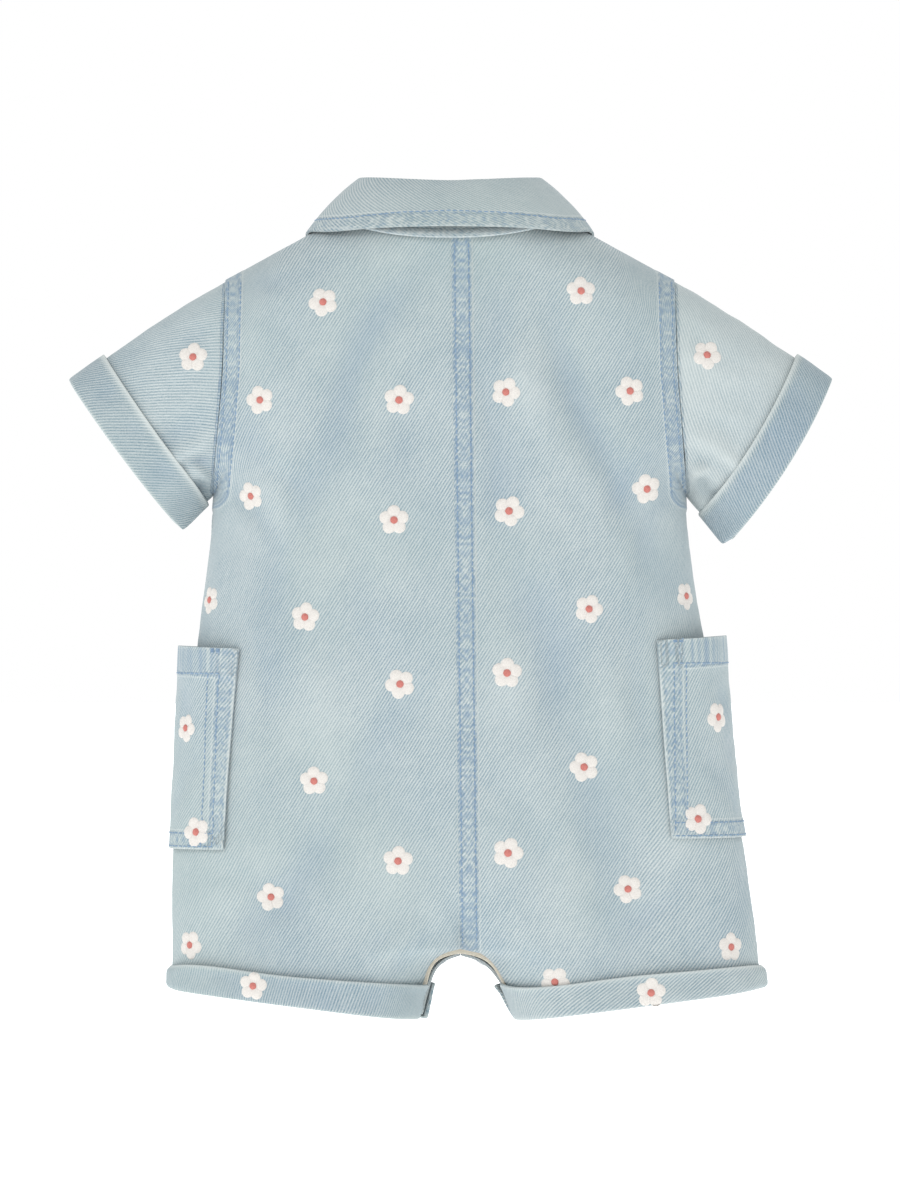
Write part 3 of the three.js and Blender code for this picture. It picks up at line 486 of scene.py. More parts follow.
class Wardrobe:
    """All the finishes of the romper, each made once."""

    def __init__(self) -> None:
        """Builds the materials."""
        self.body = DenimFinish("denim", rgb(112, 133, 143), rgb(180, 187, 187)).build()
        self.cuff = DenimFinish("denim_cuff", rgb(103, 125, 135), rgb(173, 180, 180)).build()
        self.seam = DenimFinish("denim_seam", rgb(108, 132, 148), rgb(178, 187, 190)).build()
        reverse = DenimFinish("denim_reverse", rgb(140, 152, 158), rgb(182, 186, 186), contrast=0.6)
        self.inside = reverse.build()
        self.tape = PlainWeaveFinish("cream_cotton", rgb(222, 215, 200), rgb(196, 186, 168)).build()
        self.thread = ThreadFinish("sewing_thread", rgb(130, 154, 176), rgb(92, 118, 146)).build()
        self.petal = SatinStitchFinish("petal_thread", rgb(221, 218, 213), rgb(172, 167, 162)).build()
        self.centre = SatinStitchFinish("centre_thread", rgb(200, 126, 116), rgb(150, 74, 70)).build()
        self.stud = StudFinish("press_stud", rgb(200, 202, 204), rgb(126, 129, 133)).build()
        self.floor = FloorFinish("studio_floor", rgb(238, 238, 238)).build()


# How a piece of cloth lies: its flat place, and the way out from it


@dataclass(frozen=True)
class Tube:
    """Cloth that goes round a flattened tube, cut open along the line that is opposite to its reach.

    The flat place is true to length, and upright as the picture shows it on the back.
    """

    centre: tuple[float, float]  # x, z of the middle line
    reach: tuple[float, float]  # direction in x, z from the middle line to the side opposite the cut
    half: float
    depth: float
    power: float = 2.4
    steady: float = 2.0  # share of half within which the section alone gives the depth, unused from 1 up

    def _parts(self, points: np.ndarray) -> tuple[np.ndarray, np.ndarray, np.ndarray]:
        """Splits places into along the reach, front to back, and along the tube."""
        x = points[:, 0] - self.centre[0]
        z = points[:, 2] - self.centre[1]
        c = x * self.reach[0] + z * self.reach[1]
        t = -x * self.reach[1] + z * self.reach[0]
        return c, points[:, 1], t

    def _size(self, turn: np.ndarray | float) -> np.ndarray | float:
        """The scale at each angle that takes a plain oval out to the section's squarer outline."""
        total = np.abs(np.cos(turn)) ** self.power + np.abs(np.sin(turn)) ** self.power
        return total ** (-1.0 / self.power)

    def _arc(self) -> tuple[np.ndarray, np.ndarray]:
        """Angle and length round the section, from the reach to the cut."""
        turn = np.linspace(0.0, math.pi, 721)
        size = self._size(turn)
        c = self.half * size * np.cos(turn)
        y = self.depth * size * np.sin(turn)
        steps = np.hypot(np.diff(c), np.diff(y))
        return turn, np.concatenate([[0.0], np.cumsum(steps)])

    def flat(self, points: np.ndarray) -> tuple[np.ndarray, np.ndarray]:
        """Flat place of each point, to the right and up, in millimetres."""
        c, y, t = self._parts(points)
        if self.steady < 1.0:
            share = smooth(np.abs(c) / self.half, self.steady, self.steady + 0.2)
            full = np.maximum(1.0 - (np.abs(c) / self.half) ** self.power, 0.0) ** (1.0 / self.power)
            full = full * self.depth
            y = np.sign(y) * (full * (1.0 - share) + np.abs(y) * share)
        angle = np.arctan2(y / self.depth, c / self.half)
        turn, length = self._arc()
        s = np.sign(angle) * np.interp(np.abs(angle), turn, length)
        return s * self.reach[0] - t * self.reach[1], s * self.reach[1] + t * self.reach[0]

    def sight(self, s: float, z: float) -> tuple[Vector, Vector]:
        """A line of sight from outside that meets the cloth squarely.

        Args:
            s: flat distance from the reach, to the front if above 0.
            z: height.

        Returns:
            Where the line starts, in metres, and its direction.
        """
        turn, length = self._arc()
        angle = math.copysign(float(np.interp(abs(s), length, turn)), s)
        size = float(self._size(angle))
        c, y = self.half * size * math.cos(angle), self.depth * size * math.sin(angle)
        out = Vector((c / self.half**2 * self.reach[0], y / self.depth**2, 0.0)).normalized()
        return Vector((c * self.reach[0], y, z)) * MM + out * 0.1, -out

    def outward(self, points: np.ndarray) -> np.ndarray:
        """Unit direction away from the middle line at each point."""
        c, y, _ = self._parts(points)
        c = c / self.half**2
        y = y / self.depth**2
        way = np.stack([c * self.reach[0], y, c * self.reach[1]], axis=1)
        return way / np.maximum(np.linalg.norm(way, axis=1, keepdims=True), 1e-12)


@dataclass(frozen=True)
class Ring:
    """Cloth that stands round the neck, open at the front."""

    half: float
    depth: float
    middle: float  # y of the neck's middle
    lean: float = 0.6  # how much of the way outwards counts as way down

    def flat(self, points: np.ndarray) -> tuple[np.ndarray, np.ndarray]:
        """Flat place of each point, to the right and up, in millimetres."""
        y = points[:, 1] - self.middle
        angle = np.arctan2(points[:, 0] / self.half, -y / self.depth)
        turn = np.linspace(0.0, math.pi, 361)
        steps = np.hypot(np.diff(self.half * np.sin(turn)), np.diff(self.depth * np.cos(turn)))
        length = np.concatenate([[0.0], np.cumsum(steps)])
        spread = np.hypot(points[:, 0] * self.depth / self.half, y)
        return np.sign(angle) * np.interp(np.abs(angle), turn, length), points[:, 2] - self.lean * spread

    def outward(self, points: np.ndarray) -> np.ndarray:
        """Unit direction away from the neck at each point."""
        y = points[:, 1] - self.middle
        way = np.stack([points[:, 0] / self.half**2, y / self.depth**2, np.full(len(y), 0.006)], axis=1)
        return way / np.linalg.norm(way, axis=1, keepdims=True)


# Creases and seams


@dataclass(frozen=True)
class Crease:
    """One soft crease from one place to another.

    It is a trough with a low ridge beside it, or a ridge with a low trough if depth is negative.
    """

    start: tuple[float, float]
    end: tuple[float, float]
    depth: float
    width: float

    def height(self, x: np.ndarray, z: np.ndarray) -> np.ndarray:
        """How far the crease moves each place outwards, in millimetres."""
        run_x = self.end[0] - self.start[0]
        run_z = self.end[1] - self.start[1]
        length = math.hypot(run_x, run_z)
        along = ((x - self.start[0]) * run_x + (z - self.start[1]) * run_z) / length**2
        across = ((x - self.start[0]) * run_z - (z - self.start[1]) * run_x) / length
        across = across + 0.05 * length * np.sin(np.pi * np.clip(along, 0.0, 1.0) * 1.3 + self.start[0])
        swell = 1.0 + 0.35 * np.sin(along * 6.3 + self.start[1])
        ends = smooth(along, -0.15, 0.25) * (1.0 - smooth(along, 0.7, 1.15))
        trough = np.exp(-((across / self.width) ** 2))
        ridge = np.exp(-(((across - 1.9 * self.width) / (1.3 * self.width)) ** 2))
        return self.depth * swell * ends * (0.45 * ridge - trough)


def creases(rows: Iterable[tuple[float, ...]], side: int = 1) -> tuple[Crease, ...]:
    """Makes creases from a table.

    Args:
        rows: for each crease, x and z of one end, x and z of the other, depth and width.
        side: -1 to mirror the table.

    Returns:
        The creases.
    """
    return tuple(
        Crease((x * side, z), (to_x * side, to_z), depth, width) for x, z, to_x, to_z, depth, width in rows
    )


@dataclass(frozen=True)
class Seam:
    """A felled seam along a line: its folded-in cloth lies within band of the line, to one side."""

    line: tuple[tuple[float, float], ...]
    toward: int  # 1 if the band lies on the left hand of someone who walks the line
    band: float
    rise: float
    rows: float = 3.4  # from the band's middle to each of its two rows of stitches
    wash: float = 0.0
    seed: float = 0.0

    def place(self, x: np.ndarray, z: np.ndarray) -> tuple[np.ndarray, np.ndarray]:
        """Length along the line and signed distance into the band, for each place."""
        best = np.full(len(x), 1e9)
        along = np.zeros(len(x))
        across = np.zeros(len(x))
        walked = 0.0
        for k in range(len(self.line) - 1):
            (ax, az), (bx, bz) = self.line[k], self.line[k + 1]
            length = math.hypot(bx - ax, bz - az)
            ux, uz = (bx - ax) / length, (bz - az) / length
            s = np.clip((x - ax) * ux + (z - az) * uz, 0.0, length)
            gone = np.hypot(x - ax - s * ux, z - az - s * uz)
            side = ((z - az) * ux - (x - ax) * uz) * self.toward
            near = gone < best
            best = np.where(near, gone, best)
            along = np.where(near, walked + s, along)
            across = np.where(near, np.sign(side) * gone, across)
            walked += length
        return along, across

    def relief(self, x: np.ndarray, z: np.ndarray) -> tuple[np.ndarray, np.ndarray, np.ndarray, np.ndarray]:
        """What the seam gives each place.

        Returns:
            Height in millimetres, bluer wash, distance from the band's middle as a share of rows,
            and length along.
        """
        s, d = self.place(x, z)
        inside = smooth(d, -0.6, 0.2) * (1.0 - smooth(d, self.band - 0.2, self.band + 1.0))
        near = smooth(d, -5.0, 0.5) * (1.0 - smooth(d, self.band + 0.5, self.band + 6.0))
        swing = np.sin(s / 11.0 + self.seed) + np.sin(s / 4.7 + 2.0 * self.seed + 0.1 * d)
        height = self.rise * inside + 0.07 * swing * near
        return height, self.wash * inside, np.abs(d - self.band / 2) / self.rows, s


@dataclass(frozen=True)
class EdgeBand:
    """Cloth along one of a piece's own edges, paler at the edge itself and held by rows of stitches; the
    paleness is wear, and on a sleeve cuff's free edge painted highlight as well.
    """

    edge: Edge
    rows: tuple[float, float] = (0.0, 0.0)  # distances of two rows from the edge, both 0 if there are none
    # paleness at the edge: wear, and on a sleeve cuff's free edge partly painted highlight
    worn: float = 0.4
    worn_width: float = 1.2
    rise: float = 0.0
    turn: float = 0.0  # angle from level to the edge's own direction, in the flat place
    hem: bool = False  # only the further row shows, and the other is inside the fold
    BIN = 4.2  # length of edge over which its outermost place is looked up

    def reach(self, right: np.ndarray, up: np.ndarray) -> tuple[np.ndarray, np.ndarray]:
        """Length along the edge, and distance into the cloth from it, for each flat place."""
        cos, sin = math.cos(self.turn), math.sin(self.turn)
        level, high = right * cos + up * sin, up * cos - right * sin
        run, value = (level, high) if self.edge in (Edge.TOP, Edge.FOOT) else (high, level)
        value = -value if self.edge in (Edge.TOP, Edge.RIGHT) else value
        low, span = run.min(), np.ptp(run)
        count = max(4, int(span / self.BIN))
        index = np.minimum(((run - low) / span * count).astype(int), count - 1)
        rim = np.full(count, np.inf)
        np.minimum.at(rim, index, value)
        filled = np.isfinite(rim)
        middles = low + (np.arange(count) + 0.5) * span / count
        return run, value - np.interp(run, middles[filled], rim[filled])

    def relief(
        self, right: np.ndarray, up: np.ndarray
    ) -> tuple[np.ndarray, np.ndarray, np.ndarray, np.ndarray]:
        """What the edge gives each flat place, in the same order as a seam does."""
        run, into = self.reach(right, up)
        wash = -self.worn * np.exp(-((into / self.worn_width) ** 2))
        height = self.rise * (1.0 - smooth(into, self.rows[1] + 1.0, self.rows[1] + 2.4))
        middle, half = sum(self.rows) / 2, (self.rows[1] - self.rows[0]) / 2
        off = np.abs(into - middle) / half if half > 0 else np.full(len(run), Cloth.NO_SEAM)
        off = np.maximum(np.where(into < middle, 0.0, off), 0.5) if self.hem else off
        return height, wash, off, run


# Pieces of cloth


@dataclass
class ClothPiece:
    """One cut piece of cloth, made on its CAD wall with creases, seams, weave direction and two faces."""

    node: str
    lie: Tube | Ring
    grain: float  # angle of the twill's lines, in degrees from level
    flat_size: tuple[float, float]  # width and length in metres
    area: float  # square metres
    slot: str = "denim"
    held: Held = Held.HUNG
    rests_on: tuple[str, ...] = ()
    levels: int = 2
    edge: float = 0.7
    seams: tuple[Seam, ...] = ()
    creases: tuple[Crease, ...] = ()
    cuts: tuple[tuple[float, float, float], ...] = ()  # x at top, x at foot and height of each extra cut
    rumpled: float = 0.3
    edges: tuple[EdgeBand, ...] = ()
    in_flat: bool = False  # creases are given in the flat place, and not as the picture shows them
    # Shift of colour towards blue above 0 and towards pale below 0; on the right sleeve and the collar's
    # stand it is painted light
    tone: float = 0.0
    lap: float = 0.0  # how far the centre edge reaches over the other panel
    corner: float = 0.0  # radius of the piece's four corners
    curl: float = 0.0  # how far the free top edge of a cuff stands out
    drop: float = 0.0  # how far the foot reaches down over the next piece
    FOLD_SHADE_AND_WEAR = 0.1  # painted light on a fold's ridge and painted shade in its trough, partly also wear: how much paler the ridge and how much bluer the trough, for each millimetre
    piece: Optional[bpy.types.Object] = None

    def build(self, wardrobe: Wardrobe) -> bpy.types.Object:
        """Makes the piece and dresses it.

        Args:
            wardrobe: the finishes.

        Returns:
            The finished object.
        """
        self._copy_wall()
        self._refine()
        points, outward = self._shape()
        self._dress(wardrobe, points, outward)
        ride_and_slot(self.piece, self.slot)
        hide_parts(self.node)
        list(self.rests_on)
        log.info("%s: %d faces", self.piece.name, len(self.piece.data.polygons))
        return self.piece

    def _copy_wall(self) -> None:
        """Copies the CAD wall and joins its loose triangles into one skin of quads."""
        only(frame["nodes"][self.node])
        bpy.ops.object.duplicate()
        self.piece = named(bpy.context.active_object, "cloth_" + self.node)
        bpy.ops.object.parent_clear(type="CLEAR_KEEP_TRANSFORM")
        only(self.piece)
        bpy.ops.mesh.customdata_custom_splitnormals_clear()
        bpy.ops.object.mode_set(mode="EDIT")
        bpy.ops.mesh.select_mode(type="VERT")
        bpy.ops.mesh.select_all(action="SELECT")
        bpy.ops.mesh.remove_doubles(threshold=0.00001)
        bpy.ops.mesh.tris_convert_to_quads(
            face_threshold=math.radians(60), shape_threshold=math.radians(70)
        )
        bpy.ops.object.mode_set(mode="OBJECT")

    def _refine(self) -> None:
        """Cuts the seam bands, keeps the piece's edges crisp and subdivides it."""
        bpy.ops.object.mode_set(mode="EDIT")
        for top, foot, depth in self.cuts:
            bpy.ops.mesh.select_all(action="SELECT")
            way = Vector((depth, 0.0, foot - top)).normalized()
            bpy.ops.mesh.bisect(plane_co=(top * MM, 0.0, 0.0), plane_no=tuple(way))
        bpy.ops.mesh.select_mode(type="EDGE")
        bpy.ops.mesh.select_all(action="DESELECT")
        bpy.ops.mesh.edges_select_sharp(sharpness=math.radians(48))
        bpy.ops.transform.edge_crease(value=self.edge)
        bpy.ops.mesh.select_mode(type="VERT")
        bpy.ops.object.mode_set(mode="OBJECT")
        finer = self.piece.modifiers.new("finer", "SUBSURF")
        finer.levels = self.levels
        finer.render_levels = self.levels
        bpy.ops.object.modifier_apply(modifier="finer")

    def _shape(self) -> tuple[np.ndarray, np.ndarray]:
        """Moves the cloth out and in for its creases, seams and unevenness.

        Returns:
            The places before the move, in millimetres, and the way out at each.
        """
        mesh = self.piece.data
        flat = np.empty(len(mesh.vertices) * 3)
        mesh.vertices.foreach_get("co", flat)
        points = flat.reshape(-1, 3) * 1000.0
        outward = self.lie.outward(points)
        flat_right, flat_up = self.lie.flat(points)
        right, up = (flat_right, flat_up) if self.in_flat else (points[:, 0], points[:, 2])
        height = self.rumpled * (rumple(points, 34.0, 3) + 0.35 * rumple(points, 11.0, 5))
        wash = self.tone + 0.06 * rumple(points, 60.0, 7)
        for crease in self.creases:
            fold = crease.height(right, up)
            height += fold
            # Painted shade: each crease's trough is made bluer. Painted light: its ridge is made paler.
            # Partly also wear.
            wash -= self.FOLD_SHADE_AND_WEAR * fold
        off, run = np.full(len(points), Cloth.NO_SEAM), np.zeros(len(points))
        found = [seam.relief(points[:, 0], points[:, 2]) for seam in self.seams]
        found += [edge.relief(flat_right, flat_up) for edge in self.edges]
        for rise, blue, seam_off, seam_run in found:
            height += rise
            wash += blue
            nearer = (seam_off < off) & ((np.abs(off - 1.0) > 0.25) | (seam_off > 0.75))
            run = np.where(nearer, seam_run, run)
            off = np.where(nearer, seam_off, off)
        moved = points + outward * height[:, None]
        moved[:, 0] -= self.lap * (1.0 - smooth(points[:, 0] - Cloth.centre_x(points[:, 2]), 0.0, 4.0))
        into = EdgeBand(Edge.FOOT).reach(flat_right, flat_up)[1]
        moved[:, 2] -= self.drop * (1.0 - smooth(into, 3.0, 7.0))
        if self.corner > 0:
            moved += self._rounding(flat_right, flat_up, outward)
        if self.curl > 0:
            moved += self._curling(flat_right, flat_up, outward)
        mesh.vertices.foreach_set("co", (moved * MM).ravel())
        for name, values in (("wash", wash), ("seam_off", off), ("seam_run", run)):
            mesh.attributes.new(name, "FLOAT", "POINT").data.foreach_set("value", values)
        mesh.update()
        return points, outward

    def _rounding(self, right: np.ndarray, up: np.ndarray, outward: np.ndarray) -> np.ndarray:
        """The moves, in millimetres, that round off the four corners in the flat place."""
        level = np.stack([-outward[:, 1], outward[:, 0], np.zeros(len(right))], axis=1)
        level /= np.maximum(np.linalg.norm(level, axis=1, keepdims=True), 1e-9)
        moves = np.zeros((len(right), 3))
        for across, hand in ((Edge.LEFT, 1.0), (Edge.RIGHT, -1.0)):
            for high, rise in ((Edge.TOP, -1.0), (Edge.FOOT, 1.0)):
                a = np.maximum(self.corner - EdgeBand(across).reach(right, up)[1], 0.0)
                b = np.maximum(self.corner - EdgeBand(high).reach(right, up)[1], 0.0)
                shrink = 1.0 - np.maximum(a, b) / np.maximum(np.hypot(a, b), 1e-9)
                shrink = np.where((a > 0) & (b > 0), shrink, 0.0)
                moves += level * (hand * a * shrink)[:, None]
                moves[:, 2] += rise * b * shrink
        return moves

    def _curling(self, right: np.ndarray, up: np.ndarray, outward: np.ndarray) -> np.ndarray:
        """The moves, in millimetres, that roll a cuff's free edge out and round it off at the side seam."""
        top = EdgeBand(Edge.TOP).reach(right, up)[1]
        foot = EdgeBand(Edge.FOOT).reach(right, up)[1]
        side = np.exp(-((right / 20.0) ** 2))
        roll = self.curl * np.exp(-((top / 3.2) ** 2)) * (1.0 + 0.4 * np.sin(right / 13.0)) * (1.0 - side)
        tuck = 1.5 * side * (np.exp(-((top / 2.2) ** 2)) + np.exp(-((foot / 2.6) ** 2)))
        moves = outward * (roll - tuck)[:, None]
        moves[:, 2] += 1.3 * side * (np.exp(-((foot / 3.5) ** 2)) - 0.8 * np.exp(-((top / 3.0) ** 2)))
        moves[:, 2] += 0.5 * np.sin(right / 17.0) * np.exp(-((top / 4.0) ** 2)) * (1.0 - side)
        return moves

    def _dress(self, wardrobe: Wardrobe, points: np.ndarray, outward: np.ndarray) -> None:
        """Gives the outer and inner faces their finishes, and lays the weave along the grain."""
        mesh = self.piece.data
        count = len(mesh.polygons)
        normals = np.empty(count * 3)
        mesh.polygons.foreach_get("normal", normals)
        first = np.empty(count, dtype=np.int32)
        mesh.polygons.foreach_get("loop_start", first)
        corner = np.empty(len(mesh.loops), dtype=np.int32)
        mesh.loops.foreach_get("vertex_index", corner)
        facing = np.einsum("ij,ij->i", normals.reshape(-1, 3), outward[corner[first]])
        outside = {"denim": wardrobe.body, "denim_cuff": wardrobe.cuff, "denim_seam": wardrobe.seam}
        mesh.materials.clear()
        mesh.materials.append(outside.get(self.slot, wardrobe.tape))
        mesh.materials.append(wardrobe.tape if self.slot == "tape" else wardrobe.inside)
        mesh.polygons.foreach_set("material_index", (facing < -0.3).astype(np.int32))
        while mesh.uv_layers:
            mesh.uv_layers.remove(mesh.uv_layers[0])
        right, up = self.lie.flat(points)
        turn = math.radians(self.grain)
        along = right * math.cos(turn) + up * math.sin(turn)
        across = up * math.cos(turn) - right * math.sin(turn)
        weave = mesh.uv_layers.new(name="weave")
        weave.data.foreach_set("uv", (np.stack([along, across], axis=1)[corner] * MM).ravel())
        only(self.piece)
        bpy.ops.object.shade_smooth_by_angle(angle=math.radians(44))


class Cloth:
    """All the cut pieces of cloth, from the panels to the snap band."""

    ARMHOLE = (
        (112.0, -12.0), (112.0, -21.0), (113.0, -66.0), (115.0, -92.0), (117.3, -117.0), (118.0, -126.0),
    )
    CENTRE = ((1.0, 4.0), (5.3, -362.0))
    NO_SEAM = 9.0  # stands for the distance of a seam that is too far away to matter
    # Rows of creases: x and z of one end, x and z of the other, depth and width
    BACK_CREASES = creases((
        (-16, -8, -66, -120, 1.4, 9), (-60, -96, -94, -206, 1.2, 10), (54, -32, 94, -164, 1.7, 8),
        (26, -168, 98, -346, 1.4, 12), (-20, -236, -106, -346, 1.5, 11), (36, -50, 48, -134, -1.2, 9),
        (12, -60, 24, -150, 0.8, 6), (-86, -60, -74, -170, -1.0, 9), (112, -186, 104, -330, -0.9, 9),
        (-64, -206, -58, -300, -0.9, 9), (-56, -10, -100, -28, 0.9, 7), (-104, -96, -66, -132, 0.8, 6),
        (104, -104, 76, -136, 0.9, 6), (-108, -120, -84, -158, 0.9, 5), (110, -124, 92, -164, 0.9, 5),
        (-14, -60, -30, -120, 0.6, 8), (20, -30, 24, -100, 0.5, 7), (60, -190, 44, -250, 0.7, 8),
        (-48, -150, -34, -214, 0.6, 8), (-100, -196, -84, -262, 0.9, 7), (98, -190, 90, -258, 0.9, 7),
        (-114, -312, -74, -338, 0.8, 6), (120, -310, 88, -350, 0.9, 7), (18, -262, 52, -318, 0.7, 8),
        (-10, -344, -30, -366, 0.8, 4), (12, -342, 28, -366, 0.9, 4), (20, -350, 50, -360, 0.7, 4),
        (-40, -352, -24, -340, 0.6, 4),
    ))
    FRONT_CREASES = creases((
        (40, -35, 88, -188, 1.4, 9), (-54, -42, -92, -168, 1.5, 9), (-26, -190, -100, -342, 1.3, 12),
        (24, -245, 104, -346, 1.4, 11), (-84, -70, -76, -176, -0.9, 9), (84, -80, 78, -180, -0.9, 9),
        (54, -14, 98, -30, 0.8, 7), (-56, -16, -96, -40, 0.8, 7), (104, -98, 64, -138, 0.9, 6),
        (-106, -104, -72, -134, 0.9, 6), (-110, -126, -86, -170, 0.8, 5), (108, -120, 90, -160, 0.8, 5),
        (22, -70, 34, -130, 0.6, 8), (-24, -90, -32, -170, 0.6, 8), (58, -180, 40, -250, 0.7, 8),
        (-62, -200, -46, -262, 0.7, 8), (100, -200, 88, -270, 0.9, 7), (-98, -196, -90, -256, 0.9, 7),
        (112, -312, 76, -340, 0.8, 6), (-116, -314, -82, -348, 0.8, 6), (-12, -344, -34, -364, 0.8, 4),
        (16, -344, 38, -364, 0.8, 4),
    ))
    SLEEVE_CREASES = (  # on the right sleeve
        (116, -44, 150, -66, 0.9, 6), (118, -84, 146, -104, 1.0, 6), (120, -120, 136, -128, 1.2, 4),
        (128, -36, 166, -58, 0.6, 6), (122, -66, 150, -84, 0.6, 7), (118, -108, 138, -116, 1.7, 3),
        (118, -119, 136, -111, -1.6, 2.6), (119, -98, 146, -116, -1.2, 4), (121, -127, 142, -131, 1.5, 3),
    )
    SLEEVE_CUFF_CREASES = (
        (178, -84, 166, -74, 0.5, 5), (150, -122, 138, -112, 0.6, 5), (164, -104, 154, -94, 0.4, 6),
    )
    POCKET_CREASES = (  # on the right pocket in its flat place, with the back below 0
        (-18, 26, -9, -14, 0.9, 6), (14, 22, 20, -22, 0.7, 7), (-27, -4, -8, -42, 0.7, 6),
    )
    CUFF_GRAIN = {"left": 72.0, "right": 39.0}  # of the leg cuffs
    POCKET_LIE = {side: Tube((0.0, -250.0), (float(side), 0.0), 146.0, 47.0, 2.35) for side in (-1, 1)}
    POCKET_ROWS = (1.5, 8.0)  # distances of its rows of stitches from a pocket's edges
    POCKET_HEM = 13.6  # distance of the row under its mouth

    def __init__(self, wardrobe: Wardrobe) -> None:
        """Keeps the finishes and starts with no piece."""
        self.wardrobe = wardrobe
        self.made: dict[str, bpy.types.Object] = {}

    def _make(self, piece: ClothPiece) -> None:
        """Builds one piece and keeps it by its node's name."""
        self.made[piece.node] = piece.build(self.wardrobe)

    @staticmethod
    def centre_x(z: np.ndarray) -> np.ndarray:
        """The centre seam's x at a height."""
        (top_x, top_z), (foot_x, foot_z) = Cloth.CENTRE
        return top_x + (foot_x - top_x) * (z - top_z) / (foot_z - top_z)

    @staticmethod
    def _mirrored(line: Sequence[tuple[float, float]], side: int) -> tuple[tuple[float, float], ...]:
        """A line of the right side, or its mirror on the left."""
        return tuple((x * side, z) for x, z in line)

    def panels(self) -> None:
        """The two back and two front panels."""
        for side, hand in ((-1, "left"), (1, "right")):
            lie = Tube((0.0, -180.0), (float(side), 0.0), half=138.0, depth=42.5, power=2.35, steady=0.6)
            arm = Seam(
                self._mirrored(self.ARMHOLE, side), -side, band=8.6, rise=0.55, rows=3.1, wash=0.04,
                seed=1.0 + side,
            )
            middle = Seam(self.CENTRE, 1, band=9.4, rise=0.65, rows=3.5, wash=0.06, seed=0.4)
            self._make(ClothPiece(
                "back_" + hand, lie, 57.5, (0.185, 0.4), 0.0555, rests_on=("collar_stand",), levels=3,
                seams=(middle, arm), creases=self.BACK_CREASES,
                cuts=((9.6, 13.9, 366.0), (11.0, 15.3, 366.0)) if side > 0 else (),
                lap=0.7 if side > 0 else 0.0,
            ))
            self._make(ClothPiece(
                "front_" + hand, lie, 57.5, (0.185, 0.4), 0.0545, rests_on=("collar_stand",), levels=3,
                seams=(arm,), creases=self.FRONT_CREASES,
            ))

    def sleeves(self) -> None:
        """The short sleeves and their turned-up cuffs."""
        table = (
            (-1, "left", 1.0, (-188.2, -70.9), (-134.2, -142.8)),
            (1, "right", 113.0, (188.8, -70.3), (137.9, -150.7)),
        )
        for side, hand, grain, opening_top, opening_foot in table:
            top = np.array(opening_top)
            low = np.array(opening_foot)
            reach = (top - low) / np.linalg.norm(top - low)
            middle = (top + low) / 2
            lie = Tube(tuple(middle), tuple(reach), half=46.0, depth=22.0, power=2.2)
            turn = math.atan2(reach[1], reach[0])
            free, fold = (Edge.FOOT, Edge.TOP) if side < 0 else (Edge.TOP, Edge.FOOT)
            self._make(ClothPiece(
                "sleeve_" + hand, lie, grain, (0.23, 0.066), 0.0127, rests_on=("back_" + hand,), levels=3,
                # The right sleeve's tone of -0.33 paints it paler: painted light that offsets the shade from
                # the key light on the left
                creases=creases(self.SLEEVE_CREASES, side), rumpled=0.35, tone=-0.05 if side < 0 else -0.33,
                seams=(Seam(
                    self._mirrored(self.ARMHOLE, side), side, band=1.2, rise=0.0, rows=0.8, wash=0.22,
                    seed=2.0,
                ),),
            ))
            self._make(ClothPiece(
                "sleeve_cuff_" + hand, lie, grain, (0.215, 0.0235), 0.005, "denim_cuff", Held.FOLDED,
                ("sleeve_" + hand,), levels=3, edge=0.45, rumpled=0.3, tone=0.05 if side < 0 else 0.22,
                edges=(
                    # The free edge's wide pale band is partly wear and partly painted highlight on the cuff's
                    # rolled ridge
                    EdgeBand(free, worn=0.9, worn_width=2.4, turn=turn), EdgeBand(fold, worn=0.4, turn=turn),
                ),
                creases=creases(self.SLEEVE_CUFF_CREASES, side),
            ))

    def leg_cuffs(self) -> None:
        """The turned-up cuffs of the legs."""
        for side, hand, middle in ((-1, "left", -74.0), (1, "right", 84.0)):
            lie = Tube((middle, -373.0), (float(side), 0.0), half=68.0, depth=39.0)
            self._make(ClothPiece(
                "leg_cuff_" + hand, lie, self.CUFF_GRAIN[hand], (0.32, 0.0255), 0.0079, "denim_cuff",
                Held.FOLDED, ("back_" + hand, "front_" + hand), levels=3, edge=0.35, rumpled=0.4,
                tone=0.12 if side < 0 else -0.08, curl=0.9,
                edges=(EdgeBand(Edge.TOP, worn=0.6, worn_width=1.4), EdgeBand(Edge.FOOT, worn=0.35)),
                creases=creases((
                    (middle - 40, -362, middle - 26, -386, 0.6, 5),
                    (middle + 6, -362, middle + 14, -386, 0.5, 6),
                    (middle + 44, -362, middle + 34, -386, 0.6, 5),
                )),
            ))

    def pockets(self) -> None:
        """The patch pockets over the side seams."""
        for side, hand, grain in ((-1, "left", 53.0), (1, "right", 62.0)):
            sewn = (Edge.LEFT, Edge.RIGHT, Edge.FOOT)
            edges = [EdgeBand(edge, self.POCKET_ROWS, 0.3, rise=0.3) for edge in sewn]
            edges.append(EdgeBand(Edge.TOP, (self.POCKET_HEM - 6.5, self.POCKET_HEM), 0.3, hem=True))
            self._make(ClothPiece(
                "pocket_" + hand, self.POCKET_LIE[side], grain, (0.08, 0.101), 0.0078,
                rests_on=("back_" + hand, "front_" + hand), levels=3, edge=0.6, in_flat=True, rumpled=0.4,
                corner=3.2, edges=tuple(edges), creases=creases(self.POCKET_CREASES, side),
            ))

